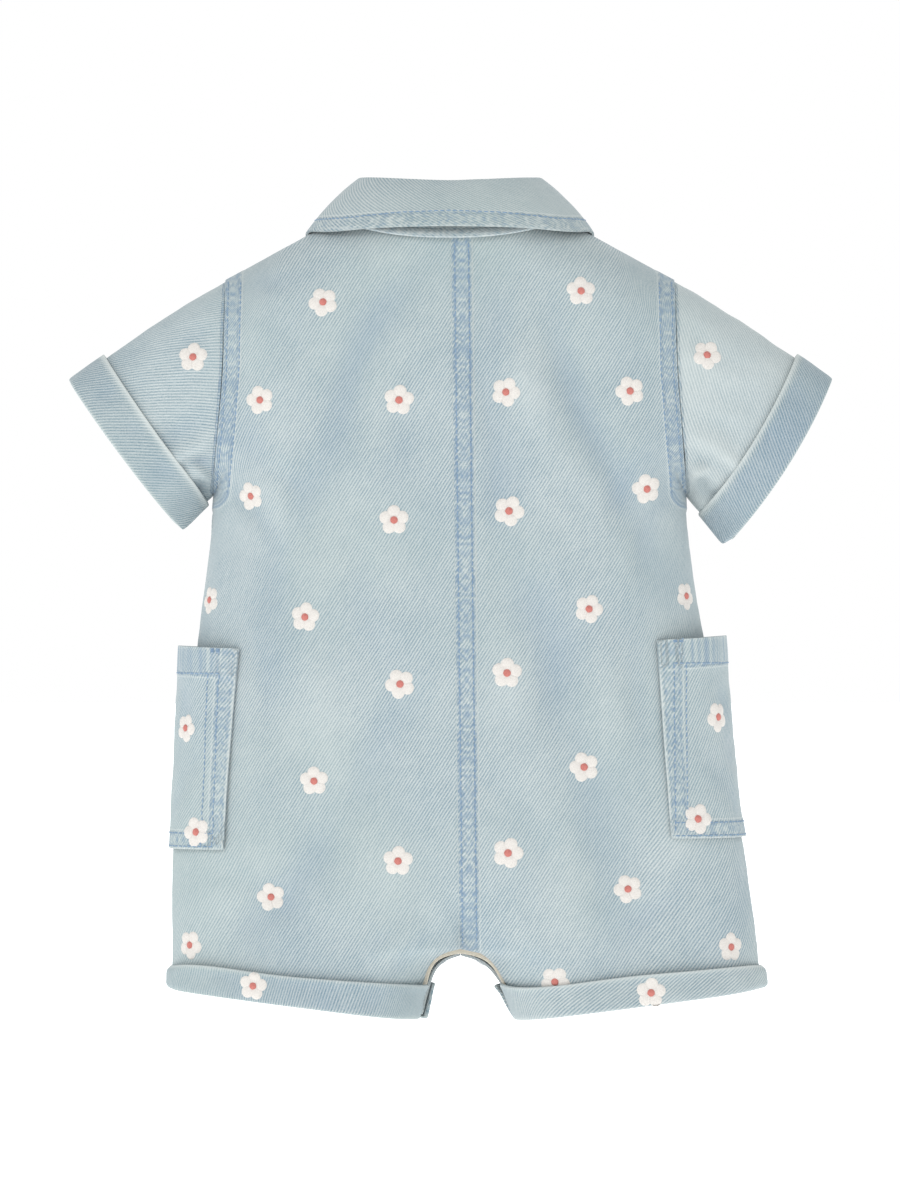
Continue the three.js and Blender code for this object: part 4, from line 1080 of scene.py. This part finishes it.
    def collar(self) -> None:
        """The collar's stand and leaf."""
        lie = Ring(half=64.0, depth=41.0, middle=2.0)
        self._make(ClothPiece(
            "collar_stand", lie, 146.0, (0.31, 0.03), 0.0056, "denim_seam", Held.FOLDED,
            # The stand's tone of -0.4 paints it paler: painted light that offsets the shadow the collar's
            # leaf casts on it
            ("back_left", "back_right", "front_left", "front_right"), rumpled=0.12, tone=-0.4,
            edges=(EdgeBand(Edge.FOOT, (0.4, 4.6), 0.2, rise=3.9),), drop=2.6,
        ))
        self._make(ClothPiece(
            "collar_leaf", lie, 146.0, (0.36, 0.045), 0.0128, "denim_cuff", Held.FOLDED, ("collar_stand",),
            levels=3, edge=0.5, rumpled=0.28, tone=-0.12, edges=(EdgeBand(Edge.FOOT, (0.6, 8.0), 0.3),),
        ))

    def closings(self) -> None:
        """The front placket and the cream snap band of the inseam."""
        lie = Tube((0.0, -180.0), (1.0, 0.0), half=138.0, depth=42.5, power=2.35)
        edges = (
            Seam(((-12.0, -30.0), (-12.0, -268.0)), 1, band=4.4, rise=0.0, rows=2.2, seed=0.2),
            Seam(((12.0, -30.0), (12.0, -268.0)), -1, band=4.4, rise=0.0, rows=2.2, seed=1.2),
        )
        self._make(ClothPiece(
            "front_placket", lie, 57.5, (0.026, 0.24), 0.006, "denim_seam", Held.STRETCHED,
            ("front_left", "front_right"), rumpled=0.15, seams=edges,
        ))
        self._make(ClothPiece(
            "snap_band", lie, 0.0, (0.012, 0.1), 0.0011, "tape", Held.STRETCHED,
            ("back_left", "back_right"), rumpled=0.05,
        ))


# Finding places on the finished cloth


class Surface:
    """The finished outside of some pieces of cloth, and ways to find places on it."""

    def __init__(self, pieces: Iterable[bpy.types.Object]) -> None:
        """Reads the pieces' meshes."""
        graph = bpy.context.evaluated_depsgraph_get()
        self.trees = [BVHTree.FromObject(piece, graph) for piece in pieces]

    def hit(self, start: Vector, way: Vector) -> Optional[tuple[Vector, Vector]]:
        """First place that a line of sight meets.

        Args:
            start: where it starts, in metres.
            way: its direction.

        Returns:
            The place and the cloth's outward normal there, or None.
        """
        best = None
        for tree in self.trees:
            place, normal, _, gone = tree.ray_cast(start, way)
            if place is not None and (best is None or gone < best[2]):
                best = (place, normal, gone)
        if best is None:
            return None
        return best[0], best[1] if best[1].dot(way) < 0 else -best[1]

    def seen(self, x: float, z: float, face: Face) -> Optional[tuple[Vector, Vector]]:
        """The place seen at x, z in the garment's middle plane, from the camera or its match at the front."""
        eye = Vector((0.0, face.value * EYE_AWAY * MM, EYE_HEIGHT * MM))
        target = Vector((x * MM, 0.0, z * MM))
        return self.hit(eye, (target - eye).normalized())


def along_path(points: Sequence[tuple[float, float]], step: float = 1.0) -> list[tuple[float, float]]:
    """Places every step along a path of straight runs."""
    made = []
    for k in range(len(points) - 1):
        (ax, az), (bx, bz) = points[k], points[k + 1]
        count = max(1, round(math.hypot(bx - ax, bz - az) / step))
        made += [(ax + (bx - ax) * j / count, az + (bz - az) * j / count) for j in range(count)]
    return made + [points[-1]]


# Sewing


@dataclass
class Stitching:
    """Rows of sewing stitches that lie in the cloth."""

    wardrobe: Wardrobe
    length: float = 2.5
    pitch: float = 3.1
    thick: float = 0.34

    COLLAR_TURNS = (0, 30, 60, 90, 120, 150, 172)  # degrees round the neck from the back
    COLLAR_LEVELS = (13.0, 12.2, 9.6, 9.8, 1.0, -20.0, -42.0)  # height of the leaf's row at each

    def _stitch(self) -> bpy.types.Object:
        """Models one stitch as a round bead of radius 1 with its poles on x, which a row stretches."""
        bpy.ops.object.select_all(action="DESELECT")
        bpy.ops.mesh.primitive_uv_sphere_add(segments=6, ring_count=5, radius=1.0, location=(0, 0, 0))
        bpy.ops.object.mode_set(mode="EDIT")
        bpy.ops.mesh.select_all(action="SELECT")
        bpy.ops.transform.rotate(value=math.pi / 2, orient_axis="Y", center_override=(0, 0, 0))
        bpy.ops.object.mode_set(mode="OBJECT")
        bpy.ops.object.shade_smooth()
        stitch = named(bpy.context.active_object, "stitch")
        stitch.data.materials.append(self.wardrobe.thread)
        return stitch

    def row(self, name: str, runs: Iterable[Sequence[Optional[tuple[Vector, Vector]]]]) -> None:
        """Sews rows of stitches and joins them into one piece.

        Args:
            name: the piece's name.
            runs: for each row, close places on the cloth in order, each with its normal.
        """
        template = self._stitch()
        copies = []
        for run in runs:
            places = [found for found in run if found is not None]
            for matrix in self._matrices(places):
                copy = template.copy()
                copy.data = template.data.copy()
                copy.data.transform(matrix)
                bpy.context.collection.objects.link(copy)
                copies.append(copy)
        bpy.data.objects.remove(template)
        if not copies:
            log.warning("%s: no place found", name)
            return
        only(copies[0])
        for copy in copies:
            copy.select_set(True)
        bpy.ops.object.join()
        joined = named(bpy.context.active_object, name)
        ride_and_slot(joined, "thread")
        log.info("%s: %d stitches", name, len(copies))

    def _matrices(self, places: list[tuple[Vector, Vector]]) -> Iterable[Matrix]:
        """Where each stitch of a row lies."""
        if len(places) < 3:
            return
        walked = [0.0]
        for k in range(1, len(places)):
            walked.append(walked[-1] + (places[k][0] - places[k - 1][0]).length / MM)
        index = np.arange(len(places))
        count = int((walked[-1] - self.length) // self.pitch) + 1
        for k in range(max(count, 1)):
            ends = []
            for at in (k * self.pitch + 0.3, min(k * self.pitch + 0.3 + self.length, walked[-1])):
                spot = float(np.interp(at, walked, index))
                low = min(int(spot), len(places) - 2)
                ends.append(places[low][0].lerp(places[low + 1][0], spot - low))
            normal = places[low][1]
            run = ends[1] - ends[0]
            if run.length < 0.5 * MM or run.length > 2.0 * self.length * MM:
                continue
            ahead = run.normalized()
            side = normal.cross(ahead).normalized()
            up = ahead.cross(side)
            middle = (ends[0] + ends[1]) / 2 + up * (0.05 * MM)
            wide = self.thick * MM
            yield Matrix((
                (ahead.x * run.length / 2, side.x * wide, up.x * wide, middle.x),
                (ahead.y * run.length / 2, side.y * wide, up.y * wide, middle.y),
                (ahead.z * run.length / 2, side.z * wide, up.z * wide, middle.z),
                (0.0, 0.0, 0.0, 1.0),
            ))

    def centre_back(self, cloth: Cloth) -> None:
        """Two rows down the felled centre back seam."""
        surface = Surface([cloth.made["back_left"], cloth.made["back_right"]])
        runs = []
        for inward in (1.2, 8.2):
            path = along_path([(float(Cloth.centre_x(z)) + inward, z) for z in (-1.0, -352.0)])
            runs.append([surface.seen(x, z, Face.BACK) for x, z in path])
        self.row("stitches_centre_back", runs)

    def armholes(self, cloth: Cloth) -> None:
        """Two rows along each armhole, on the back and on the front."""
        for face in Face:
            kind = "back_" if face is Face.BACK else "front_"
            for side, hand in ((-1, "left"), (1, "right")):
                surface = Surface([cloth.made[kind + hand]])
                runs = []
                for off in (1.2, 7.4):
                    path = along_path([((x - off) * side, z) for x, z in Cloth.ARMHOLE[1:]])
                    runs.append([surface.seen(x, z, face) for x, z in path])
                self.row(f"stitches_armhole_{kind}{hand}", runs)

    def pockets(self, cloth: Cloth) -> None:
        """The rows that hold each pocket down, its mouth's hem, and the bars at its corners."""
        for side, hand in ((-1, "left"), (1, "right")):
            piece = cloth.made["pocket_" + hand]
            surface = Surface([piece])
            lie = Cloth.POCKET_LIE[side]
            flat = np.empty(len(piece.data.vertices) * 3)
            piece.data.vertices.foreach_get("co", flat)
            around, height = lie.flat(flat.reshape(-1, 3) * 1000.0)
            around = around * side
            height = height + lie.centre[1]
            top, foot = height.max(), height.min()
            levels = np.arange(top - Cloth.POCKET_HEM, foot + 1.5, -1.0)
            strips = [around[np.abs(height - z) < 1.5] for z in levels]
            ends = [(float(strip.min()), float(strip.max())) for strip in strips]
            runs = []
            for inward in Cloth.POCKET_ROWS:
                runs.append([surface.hit(*lie.sight(low + inward, z)) for (low, _), z in zip(ends, levels)])
                runs.append([surface.hit(*lie.sight(hi - inward, z)) for (_, hi), z in zip(ends, levels)])
                low, high = ends[-1]
                across = np.arange(low + 1.0, high - 0.5, 1.0)
                runs.append([surface.hit(*lie.sight(s, foot + inward)) for s in across])
            low, high = ends[0]
            hem = top - Cloth.POCKET_HEM
            runs.append([surface.hit(*lie.sight(s, hem)) for s in np.arange(low + 1.0, high - 0.5, 1.0)])
            self.row("stitches_pocket_" + hand, runs)
            bars = [[surface.hit(*lie.sight(s, z)) for s in np.arange(start, start + 6.5, 0.5)]
                    for start in (low + 0.8, high - 7.3) for z in (top - 1.6, top - 2.3, top - 3.0)]
            self.row("stitches_pocket_bars_" + hand, bars)

    def collar(self, cloth: Cloth) -> None:
        """One row round the collar's leaf above its free edge, and one at the foot of its stand."""
        surface = Surface([cloth.made["collar_leaf"]])
        run = []
        for turn in np.arange(-166.0, 166.5, 1.0):
            way = Vector((math.sin(math.radians(turn)), -math.cos(math.radians(turn)), 0.0))
            level = float(np.interp(abs(turn), self.COLLAR_TURNS, self.COLLAR_LEVELS))
            run.append(surface.hit(Vector((0, 0.004, level * MM)) + way * 0.2, -way))
        stand = Surface([cloth.made["collar_stand"]])
        places = [(float(x), 0.6 + 8.0 * abs(x / 56) ** 2.4) for x in np.arange(-40, 40.5, 1.0)]
        foot = [stand.seen(x, z, Face.BACK) for x, z in places]
        self.row("stitches_collar", [run, foot])

    def placket(self, cloth: Cloth) -> None:
        """The two rows of the front placket, and the one across its foot."""
        surface = Surface([cloth.made["front_placket"]])
        runs = [[surface.seen(x, z, Face.FRONT) for z in np.arange(-36, -265, -1.0)] for x in (-9.8, 9.8)]
        runs.append([surface.seen(x, -262.0, Face.FRONT) for x in np.arange(-9, 9.5, 1.0)])
        self.row("stitches_placket", runs)


# Embroidery


@dataclass
class Daisies:
    """Small embroidered daisies: five raised satin-stitched petals round a knot."""

    wardrobe: Wardrobe
    petal_out: float = 4.2  # from the daisy's middle to a petal's
    petal_long: float = 3.15
    petal_wide: float = 3.2
    petal_high: float = 0.66
    knot: float = 1.95
    seed: int = 11

    BACK = (
        (65.5, -25.5), (-63.5, -31.0), (90.0, -75.5), (28.0, -76.0), (-25.5, -80.0), (-95.0, -80.0),
        (98.5, -124.5), (-99.5, -128.0), (29.5, -135.5), (-28.0, -140.0), (118.0, -178.0),
        (-120.0, -180.0), (69.5, -184.5), (-72.5, -188.5), (28.5, -216.5), (-25.0, -222.0),
        (67.0, -263.5), (-68.0, -270.5), (29.0, -306.5), (-26.0, -310.5), (89.0, -324.5),
        (-89.5, -328.5), (-130.0, -352.5), (140.5, -353.5), (52.5, -371.0),
    )
    FRONT = (
        (-78.0, -40.0), (72.0, -36.0), (-30.0, -78.0), (96.0, -84.0), (-99.0, -92.0), (31.0, -98.0),
        (66.0, -132.0), (-64.0, -128.0), (-29.0, -172.0), (33.0, -182.0), (99.0, -178.0),
        (-101.0, -184.0), (-70.0, -218.0), (66.0, -224.0), (-30.0, -252.0), (30.0, -270.0),
        (-86.0, -268.0), (88.0, -274.0), (-36.0, -308.0), (58.0, -320.0), (-92.0, -332.0),
        (106.0, -336.0), (-128.0, -344.0), (26.0, -344.0),
    )
    SLEEVES = {
        "sleeve_left": ((-128.5, -58.5, Face.BACK), (-134.0, -76.0, Face.FRONT)),
        "sleeve_right": ((128.5, -57.5, Face.BACK), (130.0, -72.0, Face.FRONT)),
    }
    POCKETS = {
        "pocket_left": (
            (-132.0, -244.0, Face.BACK), (-127.0, -296.0, Face.BACK), (-126.0, -250.0, Face.FRONT),
        ),
        "pocket_right": (
            (134.0, -238.5, Face.BACK), (124.0, -289.5, Face.BACK), (128.0, -256.0, Face.FRONT),
        ),
    }
    LEG_CUFFS = {
        "leg_cuff_left": ((-98.5, -373.0, Face.BACK), (-52.0, -377.0, Face.FRONT)),
        "leg_cuff_right": ((100.5, -376.4, Face.BACK), (74.0, -376.0, Face.FRONT)),
    }

    def _petals(self) -> bpy.types.Object:
        """Models the five petals, flat on the ground, in metres."""
        petals = []
        for k in range(5):
            turn = 2 * math.pi * k / 5
            place = Vector((math.cos(turn), math.sin(turn), 0.0)) * (self.petal_out * MM)
            bpy.ops.object.select_all(action="DESELECT")
            bpy.ops.mesh.primitive_uv_sphere_add(
                segments=16, ring_count=8, radius=MM, location=place, rotation=(0.0, 0.0, turn),
                scale=(self.petal_long, self.petal_wide, self.petal_high),
            )
            petal = bpy.context.active_object
            self._finish_dome(petal, self.wardrobe.petal)
            weave = petal.data.uv_layers["weave"]
            for loop in petal.data.loops:
                spot = petal.data.vertices[loop.vertex_index].co
                out = spot.x * math.cos(turn) + spot.y * math.sin(turn)
                side = spot.y * math.cos(turn) - spot.x * math.sin(turn)
                weave.data[loop.index].uv = (out, side + 0.01 * k)
            petals.append(petal)
        only(petals[0])
        for petal in petals:
            petal.select_set(True)
        bpy.ops.object.join()
        return named(bpy.context.active_object, "petals")

    def _centre(self) -> bpy.types.Object:
        """Models the knot in the middle."""
        bpy.ops.object.select_all(action="DESELECT")
        bpy.ops.mesh.primitive_uv_sphere_add(
            segments=14, ring_count=8, radius=MM, location=(0, 0, 0), scale=(self.knot, self.knot, 1.35),
        )
        knot = bpy.context.active_object
        self._finish_dome(knot, self.wardrobe.centre)
        weave = knot.data.uv_layers["weave"]
        for loop in knot.data.loops:
            spot = knot.data.vertices[loop.vertex_index].co
            weave.data[loop.index].uv = (spot.x, spot.y)
        return named(knot, "knot")

    @staticmethod
    def _finish_dome(dome: bpy.types.Object, finish: bpy.types.Material) -> None:
        """Cuts a round form off just under the cloth and gives it its finish."""
        only(dome)
        bpy.ops.object.transform_apply(location=True, rotation=True, scale=True)
        bpy.ops.object.mode_set(mode="EDIT")
        bpy.ops.mesh.select_all(action="SELECT")
        bpy.ops.mesh.bisect(plane_co=(0, 0, -0.0001), plane_no=(0, 0, 1), clear_inner=True, use_fill=True)
        bpy.ops.object.mode_set(mode="OBJECT")
        bpy.ops.object.shade_smooth_by_angle(angle=math.radians(60))
        dome.data.uv_layers[0].name = "weave"
        dome.data.materials.append(finish)

    def sew(self, cloth: Cloth) -> None:
        """Embroiders all the daisies on the finished cloth."""
        chance = random.Random(self.seed)
        groups = {"back": [], "front": []}
        for x, z in self.BACK:
            groups["back"].append((cloth.made["back_left" if x < 0 else "back_right"], x, z, Face.BACK))
        for x, z in self.FRONT:
            groups["front"].append((cloth.made["front_left" if x < 0 else "front_right"], x, z, Face.FRONT))
        tables = {"sleeves": self.SLEEVES, "pockets": self.POCKETS, "leg_cuffs": self.LEG_CUFFS}
        for group, table in tables.items():
            groups[group] = [(cloth.made[node], *spot) for node, spots in table.items() for spot in spots]
        petals = self._petals()
        knot = self._centre()
        for group, spots in groups.items():
            self._scatter(group, spots, petals, knot, chance)
        bpy.data.objects.remove(petals)
        bpy.data.objects.remove(knot)

    def _scatter(
        self, group: str, spots: list, petals: bpy.types.Object, knot: bpy.types.Object,
        chance: random.Random,
    ) -> None:
        """Copies the daisy to each spot and lays it on the cloth there.

        Args:
            group: what the daisies are on, for the pieces' names.
            spots: carrying piece, x, z and face of each.
            petals: the modelled petals.
            knot: the modelled centre.
            chance: source of the small differences.
        """
        made = {"petals_": [], "centres_": []}
        surfaces: dict[str, Surface] = {}
        for piece, x, z, face in spots:
            surface = surfaces.setdefault(piece.name, Surface([piece]))
            found = surface.seen(x, z, face)
            if found is None:
                log.warning("no cloth for a daisy at %.1f, %.1f", x, z)
                continue
            turn = chance.uniform(0, 2 * math.pi)
            size = chance.uniform(0.96, 1.05)
            for kind, template in (("petals_", petals), ("centres_", knot)):
                copy = template.copy()
                copy.data = template.data.copy()
                bpy.context.collection.objects.link(copy)
                self._lay(copy, surface, found, turn, size)
                made[kind].append(copy)
        for kind, copies in made.items():
            only(copies[0])
            for copy in copies:
                copy.select_set(True)
            bpy.ops.object.join()
            piece = named(bpy.context.active_object, kind + group)
            ride_and_slot(piece, "petal" if kind == "petals_" else "flower_centre")
            log.info("%s: %d daisies", piece.name, len(copies))

    @staticmethod
    def _lay(
        copy: bpy.types.Object, surface: Surface, found: tuple[Vector, Vector], turn: float, size: float
    ) -> None:
        """Moves every vertex of a flat daisy onto the curved cloth."""
        place, normal = found
        upright = Vector((0, 0, 1))
        side = upright.cross(normal).normalized()
        up = normal.cross(side)
        cos, sin = math.cos(turn) * size, math.sin(turn) * size
        for vertex in copy.data.vertices:
            a = vertex.co.x * cos - vertex.co.y * sin
            b = vertex.co.x * sin + vertex.co.y * cos
            start = place + side * a + up * b
            met = surface.hit(start + normal * 0.008, -normal)
            if met is not None and (met[0] - start).length < 0.006:
                vertex.co = met[0] + normal * vertex.co.z
            else:
                vertex.co = start + normal * vertex.co.z


# Studs and studio


class Studs:
    """The press studs, which keep their CAD shape."""

    def dress(self, wardrobe: Wardrobe) -> None:
        """Gives every stud its brushed metal."""
        for name, node in frame["nodes"].items():
            if "stud" in name:
                node.data.materials.clear()
                node.data.materials.append(wardrobe.stud)
                log.info("%s: dressed", name)


@dataclass
class Studio:
    """Plain pale floor, soft light and the camera at the photograph's angle."""

    floor_level: float = -0.62
    light_away: float = 2.6

    def floor(self, wardrobe: Wardrobe) -> None:
        """A wide plain floor, well below the garment."""
        bpy.ops.object.select_all(action="DESELECT")
        bpy.ops.mesh.primitive_plane_add(size=60.0, location=(0, 0, self.floor_level))
        bpy.ops.object.transform_apply(location=True)
        floor = named(bpy.context.active_object, "floor")
        floor.data.materials.append(wardrobe.floor)
        floor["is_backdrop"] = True

    def lights(self) -> None:
        """A white room, a key light up to the left of the camera, a weak fill and one for the front."""
        world = bpy.data.worlds.new("studio")
        world.use_nodes = True
        world.node_tree.nodes["Background"].inputs[0].default_value = (1.0, 1.0, 1.0, 1.0)
        world.node_tree.nodes["Background"].inputs[1].default_value = 1.0
        bpy.context.scene.world = world
        table = (
            ("key", (-2.3, -self.light_away, 1.9), 1.0, 36.0),
            ("fill", (1.8, -2.2, 0.2), 1.8, 2.0),
            ("front", (0.8, self.light_away, 1.6), 1.6, 22.0),
        )
        for name, place, size, power in table:
            light = bpy.data.lights.new(name, "AREA")
            light.size = size
            light.energy = power
            lamp = bpy.data.objects.new(name, light)
            bpy.context.collection.objects.link(lamp)
            lamp.location = place
            way = Vector((0, 0, EYE_HEIGHT * MM)) - Vector(place)
            lamp.rotation_euler = way.to_track_quat("-Z", "Y").to_euler()

    def camera(self) -> None:
        """The camera straight behind the garment, level with its middle."""
        data = bpy.data.cameras.new("camera")
        data.sensor_width = 36.0
        data.lens = data.sensor_width * EYE_AWAY / PICTURE_HEIGHT
        data.clip_end = 200.0
        camera = bpy.data.objects.new("camera", data)
        bpy.context.collection.objects.link(camera)
        camera.location = (0.0, -EYE_AWAY * MM, EYE_HEIGHT * MM)
        camera.rotation_euler = (math.pi / 2, 0.0, 0.0)
        bpy.context.scene.camera = camera
        bpy.context.scene.view_settings.view_transform = "Standard"


def write_sizes() -> None:
    """Gathers the CAD box and the visual model's box side by side."""
    both = {"cad": CAD_BOX, "visual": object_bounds()}
    boxes = {name: [list(corner) for corner in box] for name, box in both.items()}


def main() -> None:
    """Builds the romper and its studio in order."""
    logging.basicConfig(level=logging.INFO, format="%(message)s")
    wardrobe = Wardrobe()
    studio = Studio()
    studio.floor(wardrobe)
    studio.lights()
    studio.camera()
    cloth = Cloth(wardrobe)
    cloth.panels()
    cloth.sleeves()
    cloth.leg_cuffs()
    cloth.pockets()
    cloth.collar()
    cloth.closings()
    Studs().dress(wardrobe)
    stitching = Stitching(wardrobe)
    stitching.centre_back(cloth)
    stitching.armholes(cloth)
    stitching.pockets(cloth)
    stitching.collar(cloth)
    stitching.placket(cloth)
    Daisies(wardrobe).sew(cloth)
    write_sizes()


if __name__ == "__main__":
    main()
